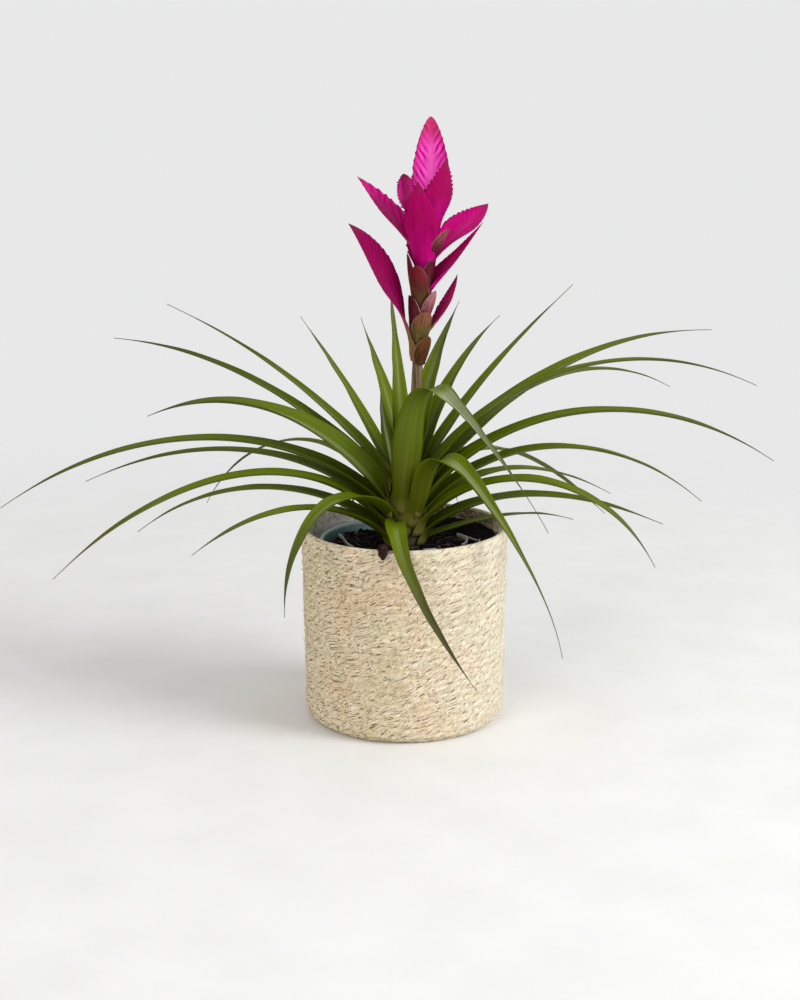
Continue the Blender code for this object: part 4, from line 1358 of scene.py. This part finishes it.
BRACT_STATIONS = 110
BRACT_ACROSS = 27
BRACT_GAP = 1.45  # from the stalk to a bract's midline at its root
PLEAT_SLANT = 1.55  # how far up a pleat runs for each step outwards
PLEAT_DEPTH = 0.42
PLEAT_STRAY = 0.3  # how far a pleat strays from its place, as a share of the pitch
TOOTH_DEPTH = 0.144  # from notch to point, as a share of the half width
TOOTH_BAND = 0.34  # share of the half width that the teeth take up
BRACT_FOOT = 0.12  # share of the length below which a bract keeps its neck's width
BRACT_THREAD = 0.3  # least width at the tip


class BractLook(NamedTuple):
    """How a bract is made up.

    pitch is the spacing of its pleats in millimetres and glow its colour, crimson (0) to pink
    (1). depth and tooth scale the pleats and the teeth. broadest is where it is widest, neck and
    clasp are its widths above the foot and at it, full and round shape its taper to the tip,
    brown is how far up its foot is brown, and cup is the angle its foot bends through.
    """

    pitch: float
    glow: float
    depth: float
    tooth: float = 1.0
    broadest: float = 0.5
    neck: float = 0.4
    clasp: float = 0.4
    full: float = 1.9
    round: float = 1.0
    brown: float = 0.12
    cup: float = 125


BRACTS = (
    (
        Blade("bract_left_lower", 222, 247, 86, 48, 339, 48, 31, -22, 0.42, (20, 295, 62, 1.0), -42),
        BractLook(6.5, 0.0, 0.2, 0.5, 0.62, 0.14, 0.42, 1.7, 1.0, 0.36),
    ),
    (
        Blade("bract_right_lower", 19, 264, 48, 26.5, 303, 80, 17),
        BractLook(4.0, 0.3, 0.5, 0.5, 0.5, 0.5, 0.6, 1.8, 1.0, 0.3),
    ),
    (
        Blade("bract_right_middle", 14, 292, 54, 39, 338, 54, 22, -12, 0.6, (), 14),
        BractLook(5, 0.32, 0.25, 0.4, 0.25, 0.75, 0.7, 1.15, 1.0, 0.02),
    ),
    (Blade("bract_back", 95, 293, 76, 27, 350, 62, 22), BractLook(4.6, 0.4, 0.8)),
    (
        Blade("bract_front", -118, 306, 82, 16.5, 366, 88, 25, 10),
        BractLook(4.2, 0.3, 0.5, 0.5, 0.5, 0.76, 0.4, 1.7, 1.0, 0.01),
    ),
    (
        Blade("bract_left_upper", 152, 315, 48, 52, 366, 42, 29),
        BractLook(9, 0.66, 0.3, 1.2, 0.5, 0.5, 0.5, 1.7, 1.0, 0.05),
    ),
    (
        Blade("bract_right_upper", 38, 312, 43, 53, 347.5, 34, 29, 0, 1, (), 8),
        BractLook(5.2, 0.62, 0.35, 0.8, 0.55, 0.5, 0.5, 1.9, 1.0, 0.05),
    ),
    (
        Blade("bract_left_back", 150, 327, 84, 19, 369, 88, 34),
        BractLook(3.6, 0.7, 1.6, 2.6, 0.5, 0.5, 0.4, 2.4, 0.7, 0.0, 45),
    ),
    (
        Blade("bract_right_front", -50, 330, 84, 16.5, 379.5, 87, 32),
        BractLook(5.7, 0.02, 0.35, 2.0, 0.34, 0.85, 0.8, 1.5, 0.9, 0.0),
    ),
    (
        Blade("bract_top", 92, 341, 86, 6, 406, 92, 27),
        BractLook(6.4, 1.0, 1.7, 0.35, 0.35, 0.8, 0.8, 1.4, 0.62, 0.0),
    ),
)


def bract_finish():
    finish = Finish("bract_magenta", Roughness=0.55, Specular_IOR_Level=0.04)
    along, across = finish.mark("along"), finish.mark("across")
    glow, hollow, pleat = finish.mark("glow"), finish.mark("hollow"), finish.mark("pleat")
    off_middle = finish.math("ABSOLUTE", across)
    seed = finish.times(glow, 29)
    streak = finish.fibres(finish.times(across, 5), finish.times(along, 4), seed, detail=4, rough=0.6)
    # The pleats' raised ridges are painted lighter and their folds darker: painted highlight and painted
    # shade.
    low = finish.ramp(glow, (0.0, 118, 0, 60), (0.3, 150, 0, 80), (0.6, 198, 0, 116), (1.0, 158, 0, 100))
    high = finish.ramp(glow, (0.0, 144, 2, 80), (0.3, 178, 0, 98), (0.6, 218, 2, 130), (1.0, 252, 78, 198))
    ridge_light = finish.span(pleat, -0.7, 0.7)
    pleat_light_and_shade = finish.mix(ridge_light, low, high)
    skin = finish.ramp(glow, (0.0, 146, 0, 72), (0.25, 158, 0, 82), (1.0, 186, 0, 104))
    skin = finish.mix(finish.span(along, 0.62, 0.2, 0.0, 0.7), skin, paint(176, 0, 114))
    # On the back too, a faint painted highlight on the ridges.
    back = finish.mix(finish.times(ridge_light, 0.2), skin, paint(186, 22, 116))
    body = finish.mix(hollow, back, pleat_light_and_shade)
    flank = finish.times(finish.span(off_middle, 0.5, 0.95), finish.span(glow, 0.7, 1.0, 0.0, 0.6))
    body = finish.mix(flank, body, paint(190, 0, 108))
    heart = finish.times(finish.span(off_middle, 0.42, 0.02), finish.span(glow, 0.5, 1.0))
    heart = finish.times(heart, finish.span(along, 0.98, 0.6))
    heart = finish.times(heart, finish.span(along, 0.1, 0.5, 0.35, 1.0))
    body = finish.mix(finish.times(heart, 0.75), body, paint(236, 96, 184))
    cloud = finish.ramp(streak, (0.3, 206, 186, 196), (0.55, 255, 255, 255))
    body = finish.tint(0.75, body, cloud)
    rib = finish.times(finish.span(off_middle, 0.2, 0.0), finish.span(pleat, 0.2, 1.0, 0.02, 0.3))
    rib = finish.times(rib, finish.minus(1.0, finish.span(glow, 0.4, 0.9)))
    body = finish.mix(rib, body, paint(168, 84, 122))
    tip = finish.ramp(glow, (0.0, 96, 40, 56), (0.5, 120, 30, 60), (1.0, 184, 44, 92))
    from_tip = finish.span(glow, 0.8, 1.0, 0.0, 0.14)
    from_tip = finish.span(finish.plus(along, from_tip), 0.82, 1.05)
    body = finish.mix(finish.times(from_tip, 0.85), body, tip)
    edge = finish.times(finish.span(off_middle, 0.9, 1.0), 0.62)
    body = finish.mix(edge, body, paint(104, 16, 66))
    foot = finish.minus(1.0, finish.math("DIVIDE", along, finish.mark("brown")))
    body = finish.mix(finish.span(foot, 0.0, 0.6, 0.0, 0.95), body, paint(112, 90, 48))
    finish.colour(body)
    finish.relief(streak, 0.3, 0.5)
    return finish


magenta = bract_finish()


def make_bract(bract, look):
    share = np.linspace(0, 1, BRACT_STATIONS)
    place = np.linspace(-1, 1, BRACT_ACROSS)
    centre = (stalk_centre(bract.root_z), 0, 0)
    reach = stalk_radius(bract.root_z) + BRACT_GAP
    foot = look.clasp * (1 - smoothstep(share / 0.25))
    neck = look.neck - max(look.neck - look.clasp, 0) * (1 - smoothstep(share / 0.14))
    grown = smoothstep((share - BRACT_FOOT) / (look.broadest - BRACT_FOOT))
    grown = np.maximum(foot, neck + (1 - neck) * grown)
    grown = grown * (0.55 + 0.45 * smoothstep(share / 0.05))
    taper = 1 - np.clip((share - look.broadest) / (1 - look.broadest), 0, 1) ** look.full
    taper = taper**look.round
    width = np.maximum(bract.width * np.where(share < look.broadest, grown, taper), BRACT_THREAD)
    cup = look.cup * (1 - 0.6 * smoothstep(share / 0.6))
    length = midline(bract, reach, BRACT_STATIONS)[2]
    half = width[:, None] / 2 * np.abs(place)
    climb = (share[:, None] * length - PLEAT_SLANT * half) / look.pitch
    uneven = [unevenness(share, look.pitch, column, 5) for column in (3, 7, 11, 15)]
    climb = climb + PLEAT_STRAY * np.where(place < 0, uneven[0], uneven[1])
    pleat = 2.3 * np.abs(np.sin(pi * climb)) ** 0.85 - 1.3
    strength = 0.75 + 0.9 * np.where(place < 0, uneven[2], uneven[3])
    fade = strength * smoothstep((np.abs(place) - 0.05) / 0.4) * smoothstep(share / 0.2)[:, None]
    fade = fade * smoothstep((1 - share) / 0.12)[:, None]
    lift = -PLEAT_DEPTH * look.depth * pleat * fade
    saw = (climb % 1) ** 1.5
    outer = smoothstep((np.abs(place) - 0.66) / TOOTH_BAND)
    shallow = smoothstep(share / 0.25) * smoothstep((1 - share) / 0.06)
    teeth = look.tooth * TOOTH_DEPTH * (saw - 0.5) * outer * shallow[:, None]
    teeth = teeth * np.clip(strength, 0.3, 1.3)
    skin = 0.8 - 0.4 * share
    points, faces, marks = blade_shell(bract, centre, reach, BRACT_ACROSS, width, cup, skin, lift, teeth)
    marks["pleat"] = np.concatenate([pleat * fade, (pleat * fade)[:, ::-1]], axis=1).ravel()
    marks["glow"] = look.glow
    marks["brown"] = max(look.brown, 0.01)
    make_piece(bract.name + "_blade", points, faces, magenta, [bract.name], marks)


for bract, look in BRACTS:
    make_bract(bract, look)

# ---- Floor, light and camera ----------------------------------------------------------------
# A wide pale floor that runs out into a plain pale room, with one large soft lamp high on the
# right and a weaker one on the left.

ROOM_GREY = paint(232, 232, 233)
ROOM_LIGHT = 0.63
FLOOR_RINGS = (0.4, 1.2, 4, 12)  # metres
FLOOR_ROUND = 96
FLOOR_FADE = (0.25, 1.1)  # distances over which the floor runs out into the room
PLANT_MIDDLE = (0, 0, 0.2)  # where both lamps point


def make_floor():
    finish = Finish("floor_paint", Roughness=0.7, Specular_IOR_Level=0.2)
    place = finish.place()
    fleck = finish.grain(place, 60, detail=4)
    finish.colour(finish.ramp(fleck, (0.3, 228, 227, 224), (0.7, 234, 233, 231)))
    reach = finish.add("VectorMath", {0: place}, operation="LENGTH").outputs["Value"]
    glow = finish.add("Emission", {"Color": ROOM_GREY, "Strength": 1.0}).outputs[0]
    rays = finish.add("LightPath", {}).outputs
    seen = finish.math("MAXIMUM", rays["Is Camera Ray"], rays["Is Glossy Ray"])
    seen = finish.math("MAXIMUM", seen, rays["Is Transmission Ray"])
    far = finish.times(finish.span(reach, *FLOOR_FADE), seen)
    blend = finish.add("MixShader", {0: far, 1: finish.shader.outputs[0], 2: glow}).outputs[0]
    finish.feed(finish.tree.nodes["Material Output"].inputs[0], blend)
    rings = rings_of([(radius, 0) for radius in FLOOR_RINGS], FLOOR_ROUND)
    faces = [face[::-1] for face in tube_faces(len(FLOOR_RINGS), FLOOR_ROUND)] + [list(range(FLOOR_ROUND))]
    mesh = bpy.data.meshes.new("floor")
    mesh.from_pydata(rings.reshape(-1, 3).tolist(), [], faces)
    mesh.materials.append(finish.material)
    put("floor", mesh)


def make_lamp(name, place, size, power, tint):
    lamp = bpy.data.lights.new(name, "AREA")
    lamp.shape = "DISK"
    lamp.size = size
    lamp.energy = power
    lamp.color = tint
    holder = put(name, lamp)
    holder.location = place
    holder.rotation_euler = (Vector(PLANT_MIDDLE) - Vector(place)).to_track_quat("-Z", "Y").to_euler()


def make_room():
    world = bpy.data.worlds.new("room")
    bpy.context.scene.world = world
    world.use_nodes = True
    nodes, links = world.node_tree.nodes, world.node_tree.links
    light = nodes["Background"]
    light.inputs[0].default_value = (1.0, 1.0, 1.0, 1.0)
    light.inputs[1].default_value = ROOM_LIGHT
    seen = nodes.new("ShaderNodeBackground")
    seen.inputs[0].default_value = ROOM_GREY
    path = nodes.new("ShaderNodeLightPath")
    blend = nodes.new("ShaderNodeMixShader")
    shown = path.outputs["Is Camera Ray"]
    for ray in ("Is Glossy Ray", "Is Transmission Ray"):
        either = nodes.new("ShaderNodeMath")
        either.operation = "MAXIMUM"
        links.new(shown, either.inputs[0])
        links.new(path.outputs[ray], either.inputs[1])
        shown = either.outputs[0]
    links.new(shown, blend.inputs[0])
    links.new(light.outputs[0], blend.inputs[1])
    links.new(seen.outputs[0], blend.inputs[2])
    links.new(blend.outputs[0], nodes["World Output"].inputs[0])


make_floor()
make_lamp("key_lamp", (1.9, -0.8, 1.3), 1.3, 45, (0.95, 0.98, 1.0))
make_lamp("fill_lamp", (-1.2, -1.9, 1.1), 1.6, 19, (1.0, 0.98, 0.96))
make_room()

camera_data = bpy.data.cameras.new("camera")
camera_data.sensor_width = 36
camera_data.lens = 68.83
camera = put("camera", camera_data)
camera.location = (0, -1.2586, 0.4595)
camera.rotation_euler = (radians(76.23), 0, radians(0.135))
bpy.context.scene.camera = camera
bpy.context.scene.view_settings.view_transform = "Standard"
